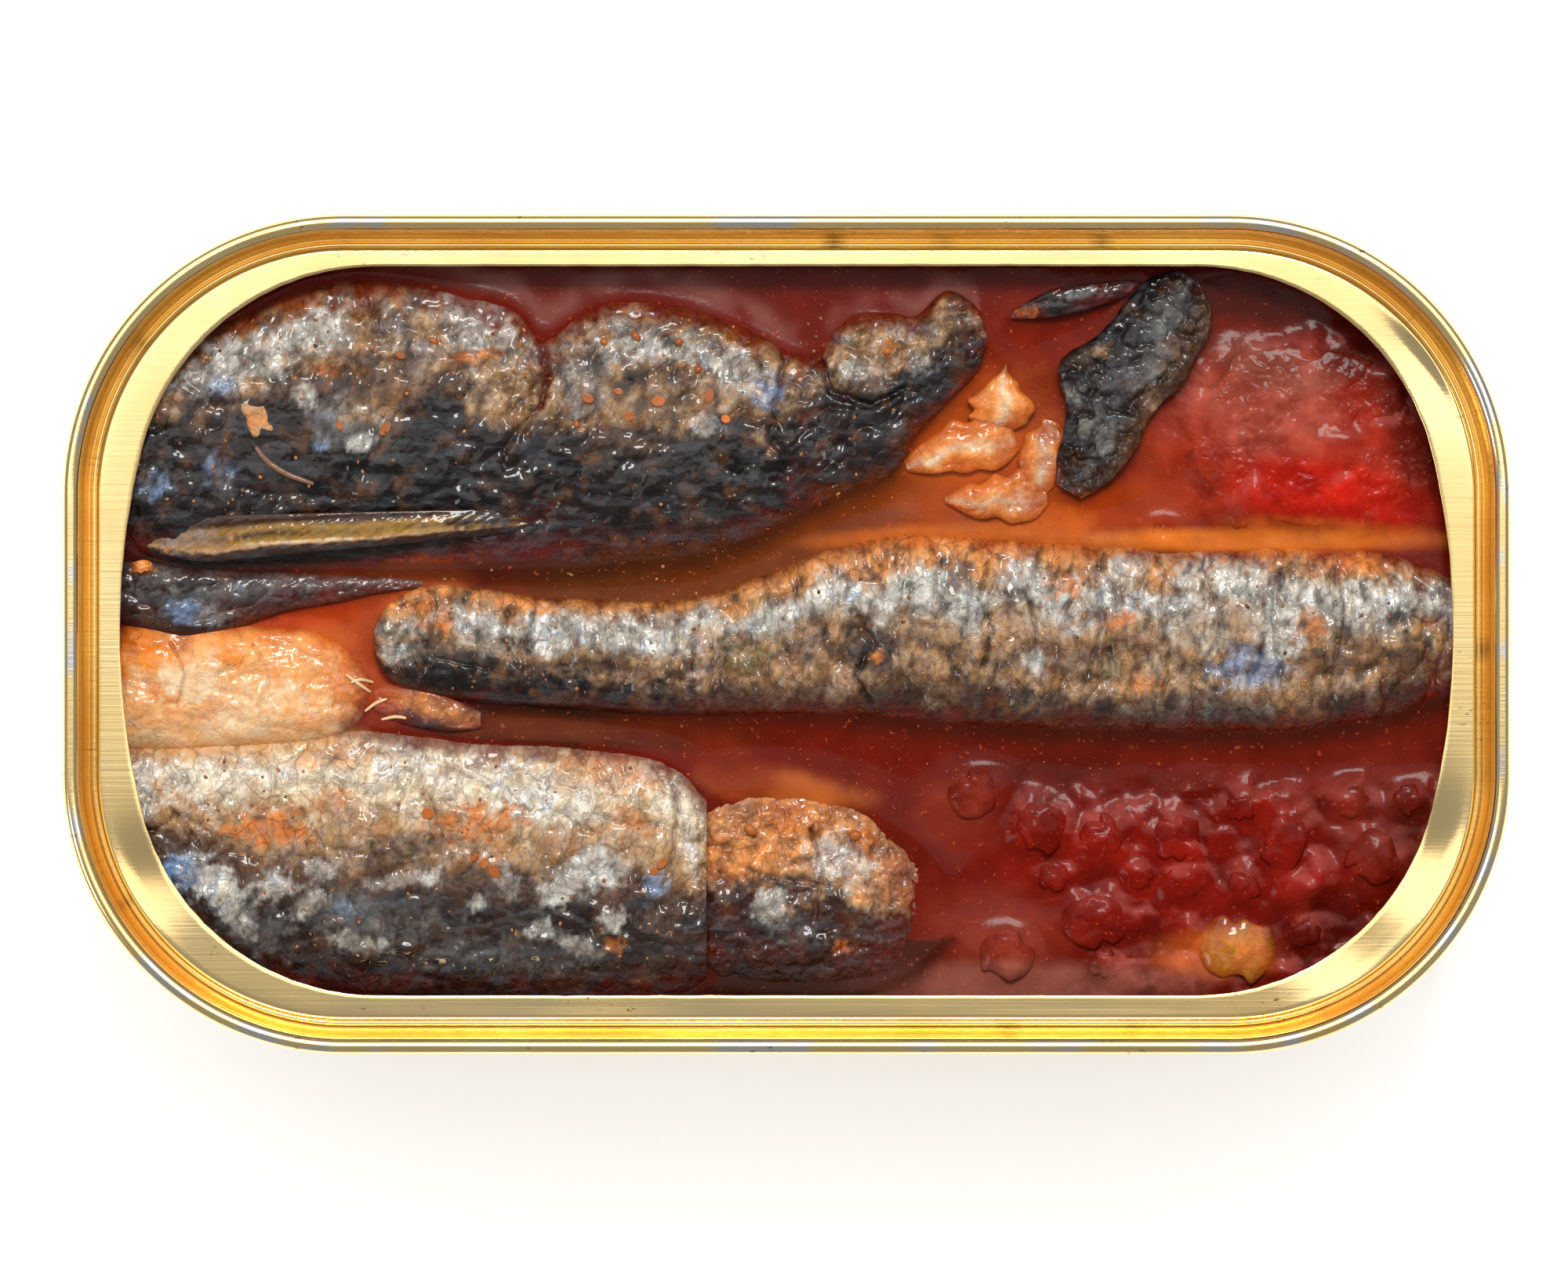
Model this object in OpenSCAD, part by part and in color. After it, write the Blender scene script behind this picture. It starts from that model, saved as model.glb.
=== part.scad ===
// Quarter-club sardine tin with its lid torn out, full of sardines in tomato sauce.
// Origin: middle of the tin on the surface it stands on. X is the long axis, Y the short
// one, Z is up. The front of the tin is -Y.

/* [Tin] */
// Length over the seam
tin_l = 104.6; // [92:0.2:130]
// Width over the seam
tin_w = 60.7; // [53:0.1:75]
// Height from the foot to the top of the seam
tin_h = 28.5; // [23:0.5:40]
// Corner radius over the seam
corner_r = 20.3; // [16:0.1:25]
// Thickness of the steel plate of the tin and of the lid
plate_t = 0.21; // [0.17:0.01:0.26]

/* [Double seam] */
// Film of sealing compound between the layers of the seam
seam_film = 0.03; // [0.02:0.01:0.05]
// Height of the seam
seam_h = 3.05; // [2.7:0.05:3.4]
// Length of the straight part of each hook
hook_l = 1.7; // [1.3:0.05:2]
// How far the chuck wall leans in from the seam to the countersink
chuck_lean = 0.75; // [0.6:0.05:1.2]

/* [Lid panel] */
// Depth of the countersink groove below the seam top
countersink_drop = 4.0; // [3.7:0.05:5]
// Clear width of the countersink groove
countersink_w = 0.42; // [0.3:0.02:0.8]
// Depth of the panel below the seam top
panel_drop = 3.0; // [2.6:0.05:3.2]
// Radius where the panel turns down into the groove
shoulder_r = 0.35; // [0.25:0.05:0.5]

/* [Opening] */
// From the long side of the seam in to the torn edge
ledge_side = 3.95; // [3.8:0.05:8]
// From the short end of the seam in to the torn edge
ledge_end = 4.05; // [3.9:0.05:8]
// How much tighter the torn corner is than the corner of the tin
corner_step = 2.7; // [2.7:0.1:6]
// Radius of the bowed ends of the opening
end_bow_r = 55; // [50:1:90]
// The torn edge sits this much towards the rear
opening_shift = 0.25; // [0:0.05:0.3]

/* [Base] */
// Radius between the wall and the foot
base_r = 2.2; // [1.2:0.1:3]
// Width of the flat foot
foot_w = 3.6; // [2.5:0.1:5]
// Rise of the base panel above the foot
base_rise = 0.8; // [0.4:0.1:1.2]
// Slope length of the step from the foot to the base panel
base_step = 1.0; // [0.6:0.1:2]

/* [Contents] */
// Sauce surface below the panel
headspace = 3.1; // [2.6:0.1:8]
// Highest fish above the sauce
fish_rise = 1.9; // [0.8:0.1:2]
// Gap between the sauce and the steel
wall_film = 0.05; // [0.03:0.01:0.1]
// Gap between a fish and the side wall
fish_film = 0.3; // [0.2:0.05:0.6]
// Gap between a loose strip and the fish under it
lay_film = 0.12; // [0.08:0.02:0.3]
// Thickness of the bone strip that lies on the rear fish
bone_t = 0.5; // [0.4:0.05:0.8]

/* [Hidden] */

$fn = 96;

// The whole tin is one profile carried round a core rectangle: radius counts from there.
core_l = tin_l - 2 * corner_r;
core_w = tin_w - 2 * corner_r;

// Radii of the seam's layers, from the inside out
fold_w = 3 * plate_t + 2 * seam_film;
seam_w = 5 * plate_t + 4 * seam_film;
seam_round = seam_w / 2;
fold_round = fold_w / 2;
crown_r = corner_r - seam_round;
crown_z = tin_h - seam_round;
wall_out = corner_r - fold_w - seam_film;
wall_in = wall_out - plate_t;
hook_fold_z = tin_h - seam_h + fold_round;

// Heights
panel_z = tin_h - panel_drop;
sauce_z = panel_z - headspace;
floor_z = base_rise + plate_t;
sauce_depth = sauce_z - floor_z;

// The contents are laid out for this clear length and width, and follow the tin's own
laid_l = 102.74;
laid_w = 58.84;
clear_l = tin_l - 2 * (corner_r - wall_in);
clear_w = tin_w - 2 * (corner_r - wall_in);
press_r = wall_in - fish_film;

arc_steps = 8;
fish_rings = 20;
fish_sides = 12;
piece_rings = 9;
piece_sides = 10;
lump_rings = 6;
lump_sides = 8;
top_power = 2.7;
flank_power = 2.1;
flank_share = 0.8;

gold = [0.86, 0.74, 0.40];
lacquer = [0.80, 0.66, 0.34];
sauce_red = [0.48, 0.12, 0.05];
dark_skin = [0.22, 0.20, 0.20];
silver_skin = [0.55, 0.52, 0.48];
cream_skin = [0.78, 0.68, 0.55];
peach = [0.88, 0.62, 0.40];
tomato = [0.66, 0.12, 0.06];
olive = [0.46, 0.38, 0.14];
pepper = [0.72, 0.52, 0.16];

// Points of an arc about c from angle a to angle b, ends included
function arc(c, r, a, b) =
    [for (i = [0 : arc_steps]) let (t = a + (b - a) * i / arc_steps)
        [c[0] + r * cos(t), c[1] + r * sin(t)]];

// Unit normal to the left of the step from p to q
function left(p, q) = let (d = (q - p) / norm(q - p)) [-d[1], d[0]];

// The left side of a path at distance t, mitred at its corners
function beside(path, t) =
    [for (i = [0 : len(path) - 1])
        let (last = len(path) - 1,
             a = i > 0 ? left(path[i - 1], path[i]) : left(path[0], path[1]),
             b = i < last ? left(path[i], path[i + 1]) : a,
             m = a + b)
        path[i] + m * (2 * t / (m * m))];

// A strip of plate: the path and its other side
function plate(path, t) =
    concat(path, [for (i = [len(path) - 1 : -1 : 0]) beside(path, t)[i]]);

// A profile carried round the core rectangle; fill_z closes it across the middle
module round_tin(fill_z = []) {
    for (q = [0 : 3])
        translate([(q == 0 || q == 3 ? 1 : -1) * core_l / 2, (q < 2 ? 1 : -1) * core_w / 2, 0])
            rotate([0, 0, 90 * q])
                rotate_extrude(angle = 90) children();
    for (side = [-1, 1]) {
        translate([0, side * core_w / 2, 0])
            rotate([90, 0, side * 90])
                linear_extrude(core_l, center = true) children();
        translate([side * core_l / 2, 0, 0])
            rotate([90, 0, side > 0 ? 0 : 180])
                linear_extrude(core_w, center = true) children();
    }
    if (len(fill_z) > 0)
        translate([-core_l / 2, -core_w / 2, fill_z[0]])
            cube([core_l, core_w, fill_z[1] - fill_z[0]]);
}

// Outside of the base from its middle out to the wall
foot_in = wall_out - base_r - foot_w;
base_path = concat(
    [[0, base_rise], [foot_in - base_step, base_rise], [foot_in, 0]],
    arc([wall_out - base_r, base_r], base_r, -90, 0));

// Drawn tin: base, wall and the body hook folded into the seam
module tin_body() {
    hook_bend_r = fold_round - plate_t;
    body_path = concat(
        base_path,
        arc([crown_r, crown_z], hook_bend_r, 180, 0),
        [[crown_r + hook_bend_r, crown_z - hook_l]]);
    color(lacquer)
        round_tin([base_rise, base_rise + plate_t])
            polygon(plate(body_path, plate_t));
}

// Opening torn in the panel: straight sides, round corners, bowed ends, all true arcs
module opening_outline() {
    opening_l = tin_l - 2 * ledge_end;
    opening_w = tin_w - 2 * ledge_side;
    torn_r = corner_r - corner_step;
    bow_x = opening_l / 2 - end_bow_r;
    torn_y = opening_w / 2 - torn_r;
    torn_x = bow_x + sqrt(pow(end_bow_r - torn_r, 2) - torn_y * torn_y);
    reach = end_bow_r / (end_bow_r - torn_r);
    square([2 * torn_x, opening_w], center = true);
    for (sx = [-1, 1]) {
        for (sy = [-1, 1])
            translate([sx * torn_x, sy * torn_y]) circle(torn_r);
        intersection() {
            translate([sx * bow_x, 0]) circle(end_bow_r);
            polygon([[sx * torn_x, 0], [sx * torn_x, torn_y],
                     [sx * (bow_x + (torn_x - bow_x) * reach), torn_y * reach],
                     [sx * opening_l, torn_y * reach], [sx * opening_l, -torn_y * reach],
                     [sx * (bow_x + (torn_x - bow_x) * reach), -torn_y * reach],
                     [sx * torn_x, -torn_y]]);
        }
    }
}

// What is left of the lid: panel ledge, countersink, chuck wall and the cover hook
module lid_ring() {
    groove_r = countersink_w / 2;
    groove_c = [corner_r - seam_w - chuck_lean - groove_r, tin_h - countersink_drop + groove_r];
    groove_in = groove_c[0] - groove_r;
    lid_path = concat(
        [[0, panel_z]],
        arc([groove_in - shoulder_r, panel_z - shoulder_r], shoulder_r, 90, 0),
        arc(groove_c, groove_r, 180, 360),
        arc([crown_r, crown_z], seam_round, 180, 0),
        arc([corner_r - fold_round, hook_fold_z], fold_round, 0, -180),
        [[corner_r - fold_w, hook_fold_z + hook_l]]);
    color(gold)
        difference() {
            round_tin([panel_z - plate_t, panel_z])
                polygon(plate(lid_path, -plate_t));
            translate([0, opening_shift, panel_z - 2 * plate_t])
                linear_extrude(3 * plate_t) opening_outline();
        }
}

// Everything in the tin is laid out on a plan and pressed in by the side wall
function in_tin(x, y, z) =
    let (p = [x * clear_l / laid_l, y * clear_w / laid_w],
         c = [max(-core_l / 2, min(core_l / 2, p[0])), max(-core_w / 2, min(core_w / 2, p[1]))],
         v = p - c,
         k = norm(v) > press_r ? press_r / norm(v) : 1)
        [c[0] + v[0] * k, c[1] + v[1] * k, z];

// Smooth curve through a list of stations, u from 0 to 1
function along(st, u) =
    let (n = len(st) - 1, s = u * n, i = min(floor(s), n - 1), f = s - i,
         a = st[max(i - 1, 0)], b = st[i], c = st[i + 1], d = st[min(i + 2, n)])
        b + f * (c - a + f * (2 * a - 5 * b + 4 * c - d + f * (3 * b - a - 3 * c + d))) / 2;

// Rings of stations: [along, rear edge, front edge, rise over the sauce, reach below it]
function rings_of(st, n) = [for (i = [0 : n]) along(st, i / n)];
function top_of(r) = sauce_z + r[3] * fish_rise;
function bottom_of(r) = sauce_z - r[4] * sauce_depth;
function widest_z(r) = bottom_of(r) + flank_share * (top_of(r) - bottom_of(r));

function signed_power(v, p) = (v < 0 ? -1 : 1) * pow(abs(v), p);

// One cross section: a flattened back over a rounder belly
function section(r, sides) =
    let (mid = (r[1] + r[2]) / 2, half = (r[1] - r[2]) / 2, z = widest_z(r))
        [for (k = [0 : sides - 1])
            let (t = 360 * k / sides, p = sin(t) >= 0 ? top_power : flank_power,
                 h = sin(t) >= 0 ? top_of(r) - z : z - bottom_of(r))
                [r[0], mid + half * signed_power(cos(t), 2 / p),
                 z + h * signed_power(sin(t), 2 / p)]];

// Closed skin over rings of equal numbers of points
module skin(rings) {
    n = len(rings);
    m = len(rings[0]);
    polyhedron(
        points = [for (r = rings) for (p = r) p],
        faces = concat(
            [[for (k = [0 : m - 1]) k]],
            [for (i = [0 : n - 2]) for (k = [0 : m - 1]) let (j = (k + 1) % m, a = i * m, b = a + m)
                each [[a + k, b + k, b + j], [a + k, b + j, a + j]]],
            [[for (k = [m - 1 : -1 : 0]) (n - 1) * m + k]]));
}

// A piece of food through its stations, set at a place on the plan and turned
module piece(st, rings, sides, at = [0, 0], turn = 0) {
    skin([for (r = rings_of(st, rings))
        [for (p = section(r, sides))
            in_tin(at[0] + p[0] * cos(turn) - p[1] * sin(turn),
                   at[1] + p[0] * sin(turn) + p[1] * cos(turn), p[2])]]);
}

// Stations: [along, rear edge, front edge, rise share, depth share]
rear_st = [[-50.2, 14.5, 9, 0.1, 0.68], [-47, 20.6, 5.6, 0.82, 0.9], [-39, 24.8, 4.2, 1, 0.97],
           [-29, 27, 3.9, 1, 0.97], [-18, 24.7, 3.9, 0.92, 0.97], [-8, 24.6, 4.7, 1, 0.96],
           [0, 22.2, 7.6, 0.9, 0.9], [7, 23.8, 11.3, 0.85, 0.68], [12, 24.8, 16.8, 0.75, 0.4],
           [14.2, 23.2, 19.6, 0.5, 0.2]];
middle_st = [[-29.9, 0.6, -1.4, 0.4, 0.1], [-28.5, 2.0, -3.4, 0.8, 0.2], [-22, 3.3, -4.9, 0.9, 0.4],
             [-14, 2.7, -5.7, 0.85, 0.5], [-6, 3.1, -6, 0.9, 0.6], [3, 6.6, -6.3, 0.95, 0.8],
             [14, 7.7, -7.4, 1, 0.94], [26, 7.3, -7.8, 1, 0.97], [36, 6.9, -7.9, 1, 0.97],
             [44, 6.6, -6.6, 0.9, 0.92], [49.8, 4.4, -4.6, 0.3, 0.7], [50.9, 1.8, -2, 0, 0.5]];
front_st = [[-50, -9.6, -13, 0.3, 0.6], [-47.5, -7.9, -18.5, 0.8, 0.88], [-40, -6.9, -25.2, 1, 0.96],
            [-31, -5.9, -27.6, 1, 0.97], [-22, -7.0, -28.2, 1, 0.97], [-13, -7.3, -28.2, 0.95, 0.96],
            [-8, -8.5, -27.6, 0.9, 0.94], [-5.8, -11, -26.2, 0.75, 0.86]];
short_st = [[-5.2, -13, -24.5, 0.1, 0.7], [-1.5, -11.0, -26.2, 0.45, 0.85], [5, -12.0, -26.2, 0.4, 0.85],
            [9.5, -15, -24.5, 0.15, 0.6], [11.2, -17.8, -21.5, -0.2, 0.35]];
flesh_st = [[-50, -2, -5.6, 0.1, 0.35], [-47.5, 0.2, -7.1, 0.6, 0.5], [-41, 0, -6.5, 0.8, 0.6],
            [-35, 0.1, -5.9, 0.7, 0.5], [-31.4, -1.8, -4.8, 0.2, 0.3]];
belly_st = [[-49.6, 4.2, 1.6, 0.1, 0.12], [-47, 4.9, 0.7, 0.5, 0.2], [-40, 4.0, 0.8, 0.6, 0.2],
            [-33, 3.6, 1.8, 0.4, 0.15], [-27, 3.3, 2.7, 0.1, 0.05]];
stub_st = [[-29.4, -4.2, -5.4, 0.2, 0.05], [-26, -5.0, -6.5, 0.5, 0.08], [-22.6, -5.7, -6.5, 0.2, 0.05]];
tail_st = [[-0.6, 1.2, -1.2, 0.5, 0.06], [2, 2.9, -2.5, 0.95, 0.14], [6.5, 3.2, -3.6, 1, 0.16],
           [9.5, 2.4, -4.2, 0.9, 0.15], [12.5, 2.4, -2.4, 0.9, 0.14], [16.4, 1.1, -1.2, 0.5, 0.06]];
fin_st = [[0, 0.4, -0.4, 0.3, 0.01], [3, 0.9, -0.8, 0.55, 0.04], [6, 0.7, -0.6, 0.45, 0.04],
          [8.2, 0.3, -0.3, 0.2, 0.01]];

module sardine_rear() { color(dark_skin) piece(rear_st, fish_rings, fish_sides); }
module sardine_middle() { color(silver_skin) piece(middle_st, fish_rings, fish_sides); }
module sardine_front() { color(cream_skin) piece(front_st, fish_rings, fish_sides); }
module sardine_short() { color(silver_skin) piece(short_st, piece_rings, fish_sides); }
module belly_flesh() { color(peach) piece(flesh_st, piece_rings, piece_sides); }
module belly_strip() { color(dark_skin) piece(belly_st, piece_rings, piece_sides); }
module flesh_stub() { color(peach) piece(stub_st, lump_rings, lump_sides); }
module tail_stub() { color(dark_skin) piece(tail_st, piece_rings, piece_sides, [28.8, 25.2], -119.5); }
module fin_strip() { color(dark_skin) piece(fin_st, lump_rings, lump_sides, [16.9, 23.3], 13); }

// Height of a fish's back at a place on the plan
function back_z(rings, x, y) =
    let (r = [for (c = [0 : 4]) lookup(x, [for (s = rings) [s[0], s[c]]])],
         half = (r[1] - r[2]) / 2,
         q = min(1, abs(y - (r[1] + r[2]) / 2) / half))
        widest_z(r) + (top_of(r) - widest_z(r)) * pow(1 - pow(q, top_power), 1 / top_power);

// Strip of bone and fin that lies along the front flank of the rear sardine
bone_from = [-44.5, 7.7];
bone_to = [-17.2, 7.9];
bone_w = [2.2, 1.2];
module bone_strip() {
    rear_rings = rings_of(rear_st, fish_rings);
    color(olive)
        skin([for (i = [0 : fish_rings])
            let (u = i / fish_rings,
                 x = bone_from[0] + u * (bone_to[0] - bone_from[0]),
                 y = bone_from[1] + u * (bone_to[1] - bone_from[1]),
                 w = bone_w[0] + u * (bone_w[1] - bone_w[0]),
                 thick = bone_t * min(1, 0.35 + 3 * u, 0.35 + 3 * (1 - u)))
                [for (e = [[1, 0], [0.6, 0.7], [0, 1], [-0.6, 0.7], [-1, 0], [0, 0]])
                    let (across = y + e[0] * w / 2)
                        in_tin(x, across, back_z(rear_rings, x, across) + lay_film + e[1] * thick)]]);
}

// A rounded lump: length, width, top above the sauce and depth below it as shares
function lump_st(l, w, rise, sink, lean) =
    [for (i = [-2 : 2])
        let (u = i * 0.48, f = sqrt(1 - u * u))
            [u * l / 2, w / 2 * (f + lean * u * f), -w / 2 * (f - lean * u * f),
             rise * (2 * f - 1), sink * f]];

module lump(at, l, w, turn, rise = 0.5, sink = 0.16, lean = 0.25) {
    piece(lump_st(l, w, rise, sink, lean), lump_rings, lump_sides, at, turn);
}

// Flakes of pale flesh: place, length, width, turn, lean
flakes = [[[15.7, 17.4], 3.6, 3.0, 80, -0.7], [[13.4, 13.4], 6.6, 3.2, 12, -0.5],
          [[15.1, 10.0], 6.2, 2.4, 4, 0.4], [[17.9, 13.2], 3.6, 1.9, 75, 0.3]];
module flake(i) {
    color(peach) lump(flakes[i][0], flakes[i][1], flakes[i][2], flakes[i][3], 0.6, 0.08, flakes[i][4]);
}

module pulp_mound() { color(tomato) lump([37.8, 14.3], 18, 12.6, -8, 0.45, 0.25, 0.1); }

// Soft lumps of tomato: place, length, width, turn
lumps = [[[13.6, -11.8], 3.8, 3.2, 20], [[18.5, -14.1], 4.2, 3.4, -15], [[22.9, -14.8], 3.6, 3.0, 30],
         [[28.3, -14.8], 4.0, 3.0, 10], [[36.2, -15.2], 5.0, 2.8, 80], [[42.6, -16.2], 4.4, 3.4, -40],
         [[22.3, -20.9], 5.2, 3.6, 5], [[16.0, -23.3], 4.2, 3.4, -10]];
module tomato_lump(i) { color(tomato) lump(lumps[i][0], lumps[i][1], lumps[i][2], lumps[i][3]); }

module pepper_chunk() { color(pepper) lump([32.8, -22.8], 5.4, 3.6, -12, 0.6, 0.14, 0.1); }

// All that stands in the sauce
module garnish() {
    sardine_rear();
    sardine_middle();
    sardine_front();
    sardine_short();
    belly_flesh();
    belly_strip();
    bone_strip();
    tail_stub();
    fin_strip();
    flesh_stub();
    for (i = [0 : len(flakes) - 1]) flake(i);
    pulp_mound();
    for (i = [0 : len(lumps) - 1]) tomato_lump(i);
    pepper_chunk();
}

// Sauce: fills the tin up to its level, cut round everything that stands in it
module sauce() {
    inside = beside(concat(base_path, [[wall_out, sauce_z]]), plate_t + wall_film);
    color(sauce_red)
        difference() {
            round_tin([floor_z + wall_film, sauce_z])
                polygon(concat(inside, [[0, sauce_z]]));
            garnish();
        }
}

tin_body();
lid_ring();
sauce();
sardine_rear();
sardine_middle();
sardine_front();
sardine_short();
belly_flesh();
belly_strip();
bone_strip();
tail_stub();
fin_strip();
flesh_stub();
flake(0);  // flake_1
flake(1);  // flake_2
flake(2);  // flake_3
flake(3);  // flake_4
pulp_mound();
tomato_lump(0);  // tomato_lump_1
tomato_lump(1);  // tomato_lump_2
tomato_lump(2);  // tomato_lump_3
tomato_lump(3);  // tomato_lump_4
tomato_lump(4);  // tomato_lump_5
tomato_lump(5);  // tomato_lump_6
tomato_lump(6);  // tomato_lump_7
tomato_lump(7);  // tomato_lump_8
pepper_chunk();
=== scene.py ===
import math
import bpy
import numpy as np
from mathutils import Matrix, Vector


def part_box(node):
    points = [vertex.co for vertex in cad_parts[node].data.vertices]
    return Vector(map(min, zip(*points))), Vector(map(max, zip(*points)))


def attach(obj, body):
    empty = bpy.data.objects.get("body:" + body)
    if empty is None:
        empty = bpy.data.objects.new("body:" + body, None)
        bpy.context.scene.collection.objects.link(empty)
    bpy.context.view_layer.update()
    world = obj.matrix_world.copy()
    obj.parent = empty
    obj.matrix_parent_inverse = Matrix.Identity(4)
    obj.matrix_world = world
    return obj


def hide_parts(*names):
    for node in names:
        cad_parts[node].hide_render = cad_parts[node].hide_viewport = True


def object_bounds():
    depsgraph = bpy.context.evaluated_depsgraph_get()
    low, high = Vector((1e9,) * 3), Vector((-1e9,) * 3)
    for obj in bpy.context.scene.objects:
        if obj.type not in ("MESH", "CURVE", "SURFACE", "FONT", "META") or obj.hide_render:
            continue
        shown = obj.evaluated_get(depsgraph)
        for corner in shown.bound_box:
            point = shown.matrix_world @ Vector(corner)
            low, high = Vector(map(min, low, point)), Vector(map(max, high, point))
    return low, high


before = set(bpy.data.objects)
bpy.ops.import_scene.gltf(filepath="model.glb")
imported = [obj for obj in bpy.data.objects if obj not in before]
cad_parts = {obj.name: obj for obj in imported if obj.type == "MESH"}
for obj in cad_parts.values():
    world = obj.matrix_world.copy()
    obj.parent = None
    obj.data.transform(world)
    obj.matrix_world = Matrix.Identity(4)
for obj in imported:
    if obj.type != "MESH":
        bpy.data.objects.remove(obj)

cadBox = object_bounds()
mm = 0.001

# the camera looks straight down through a long lens: metres, the sensor in millimetres
view = dict(width=0.11319, distance=1.0, sensor=36.0, shiftX=-0.00018, shiftY=0.00012, farClip=10)


def makeCamera():
    # lens length is sensor * distance / width seen at the top of the tin
    cam = bpy.data.cameras.new("camera")
    cam.sensor_width = view["sensor"]
    cam.lens = view["sensor"] * view["distance"] / view["width"]
    cam.clip_end = view["farClip"]
    cam.dof.use_dof = False
    eye = bpy.data.objects.new("camera", cam)
    eye.location = (view["shiftX"], view["shiftY"], cadBox[1][2] + view["distance"])
    bpy.context.scene.collection.objects.link(eye)
    bpy.context.scene.camera = eye


studio = dict(
    skyColour=(0.98, 0.99, 1.0), skyPower=0.34,
    floorSize=6, floorGap=0.0002, floorTone=0.93, floorRough=0.9, floorShine=0.1, floorGlow=0.45,
    lamps=[  # name, place, aim, size x, size y, brightness, colour
        ("rearSoftbox", (0.06, 0.50, 0.95), (0.0, 0.0, 0.0), 0.30, 0.20, 26.0, (1.0, 0.99, 0.97)),
        ("overheadPanel", (0.0, 0.60, 1.0), (0.0, 0.60, 0.0), 1.7, 1.2, 1.1, (1.0, 0.99, 0.96)),
        ("sideFill", (-0.75, -0.25, 0.55), (0.0, 0.0, 0.0), 0.25, 0.25, 5.0, (0.94, 0.97, 1.0))])


def dial(node, values):
    # plain numbers and colours for the named sockets of a node
    for title, value in values.items():
        node.inputs[title].default_value = value


def makeStudio():
    # soft panels, each of power 4 * area * brightness, an even sky, and a pale floor that glows a little
    for name, place, aim, sx, sy, bright, colour in studio["lamps"]:
        lamp = bpy.data.lights.new(name, "AREA")
        lamp.shape = "RECTANGLE"
        lamp.size = sx
        lamp.size_y = sy
        lamp.energy = 4 * sx * sy * bright
        lamp.color = colour
        obj = bpy.data.objects.new(name, lamp)
        obj.location = place
        obj.rotation_euler = (Vector(aim) - Vector(place)).to_track_quat("-Z", "Y").to_euler()
        obj.visible_camera = False
        bpy.context.scene.collection.objects.link(obj)
    world = bpy.data.worlds.new("studio")
    bpy.context.scene.world = world
    world.use_nodes = True
    sky = world.node_tree.nodes["Background"]
    sky.inputs["Color"].default_value = (*studio["skyColour"], 1)
    sky.inputs["Strength"].default_value = studio["skyPower"]
    bpy.context.scene.view_settings.view_transform = "Standard"
    bpy.ops.mesh.primitive_plane_add(size=studio["floorSize"], location=(0, 0, cadBox[0][2] - studio["floorGap"]))
    floor = bpy.context.object
    floor.name = "floor"
    mat = bpy.data.materials.new("paleFloor")
    mat.use_nodes = True
    dial(mat.node_tree.nodes["Principled BSDF"], {
        "Base Color": (*[studio["floorTone"]] * 3, 1), "Roughness": studio["floorRough"],
        "Specular IOR Level": studio["floorShine"],
        "Emission Color": (1, 1, 1, 1), "Emission Strength": studio["floorGlow"]})
    floor.data.materials.append(mat)


makeCamera()
makeStudio()
print("camera and studio ready")


# noise, curves and meshes that all the pieces share; lengths in millimetres

def turned(x, y, turn, place=(0, 0)):
    # x and y measured from a place, along axes turned by so many degrees
    c, s = math.cos(math.radians(turn)), math.sin(math.radians(turn))
    return (x - place[0]) * c + (y - place[1]) * s, -(x - place[0]) * s + (y - place[1]) * c


def hashGrid(ix, iy, seed):
    # one random number from 0 to 1 for each whole-number place on a grid: large primes mixed by xor and shifts
    h = (ix.astype(np.int64) * 73856093) ^ (iy.astype(np.int64) * 19349663) ^ (seed * 83492791)
    h = (h ^ (h >> 13)) * 1274126177 & 0x7FFFFFFF
    h = (h ^ (h >> 16)) * 2246822519 & 0x7FFFFFFF
    return (h & 0xFFFFFF) / float(0xFFFFFF)


def grain(x, y, seed):
    # gradient noise, -1 to 1: at each grid place a slope in a random direction, blended by t*t*t*(6t*t-15t+10)
    ix, iy = np.floor(x), np.floor(y)
    fx, fy = x - ix, y - iy
    wx = fx * fx * fx * (fx * (fx * 6 - 15) + 10)
    wy = fy * fy * fy * (fy * (fy * 6 - 15) + 10)
    total = 0
    for dx in (0, 1):
        for dy in (0, 1):
            turn = hashGrid(ix + dx, iy + dy, seed) * 2 * np.pi
            slope = np.cos(turn) * (fx - dx) + np.sin(turn) * (fy - dy)
            total = total + slope * (wx if dx else 1 - wx) * (wy if dy else 1 - wy)
    return total * 1.5


def cloud(x, y, size, seed, octaves=3, turn=0.0, stretch=1.0):
    # sum of grains, each half the size and half the height; stretch makes it long along the turn
    u, v = turned(x, y, turn)
    u, v = u / (size * stretch), v / size
    total, height = 0, 1.0
    for k in range(octaves):
        total = total + height * grain(u * 2 ** k + 17.3 * k, v * 2 ** k - 9.1 * k, seed + k)
        height *= 0.5
    return total / (2 - 2 * height)


def cells(x, y, size, seed):
    # distance to the nearest of points scattered one to a square, and that point's own number from 0 to 1
    loose = 0.85  # how much of its square a point may stray over
    u, v = x / size, y / size
    iu, iv = np.floor(u), np.floor(v)
    near = np.full(u.shape, 9.0)
    name = np.zeros(u.shape)
    for du in (-1, 0, 1):
        for dv in (-1, 0, 1):
            pu = iu + du + 0.5 + loose * (hashGrid(iu + du, iv + dv, seed) - 0.5)
            pv = iv + dv + 0.5 + loose * (hashGrid(iu + du, iv + dv, seed + 7) - 0.5)
            d = np.hypot(u - pu, v - pv)
            name = np.where(d < near, hashGrid(iu + du, iv + dv, seed + 13), name)
            near = np.minimum(near, d)
    return near, name


def rise(a, b, t):
    # 0 below a, 1 above b, smooth between
    f = np.clip((t - a) / (b - a), 0, 1)
    return f * f * (3 - 2 * f)


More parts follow.
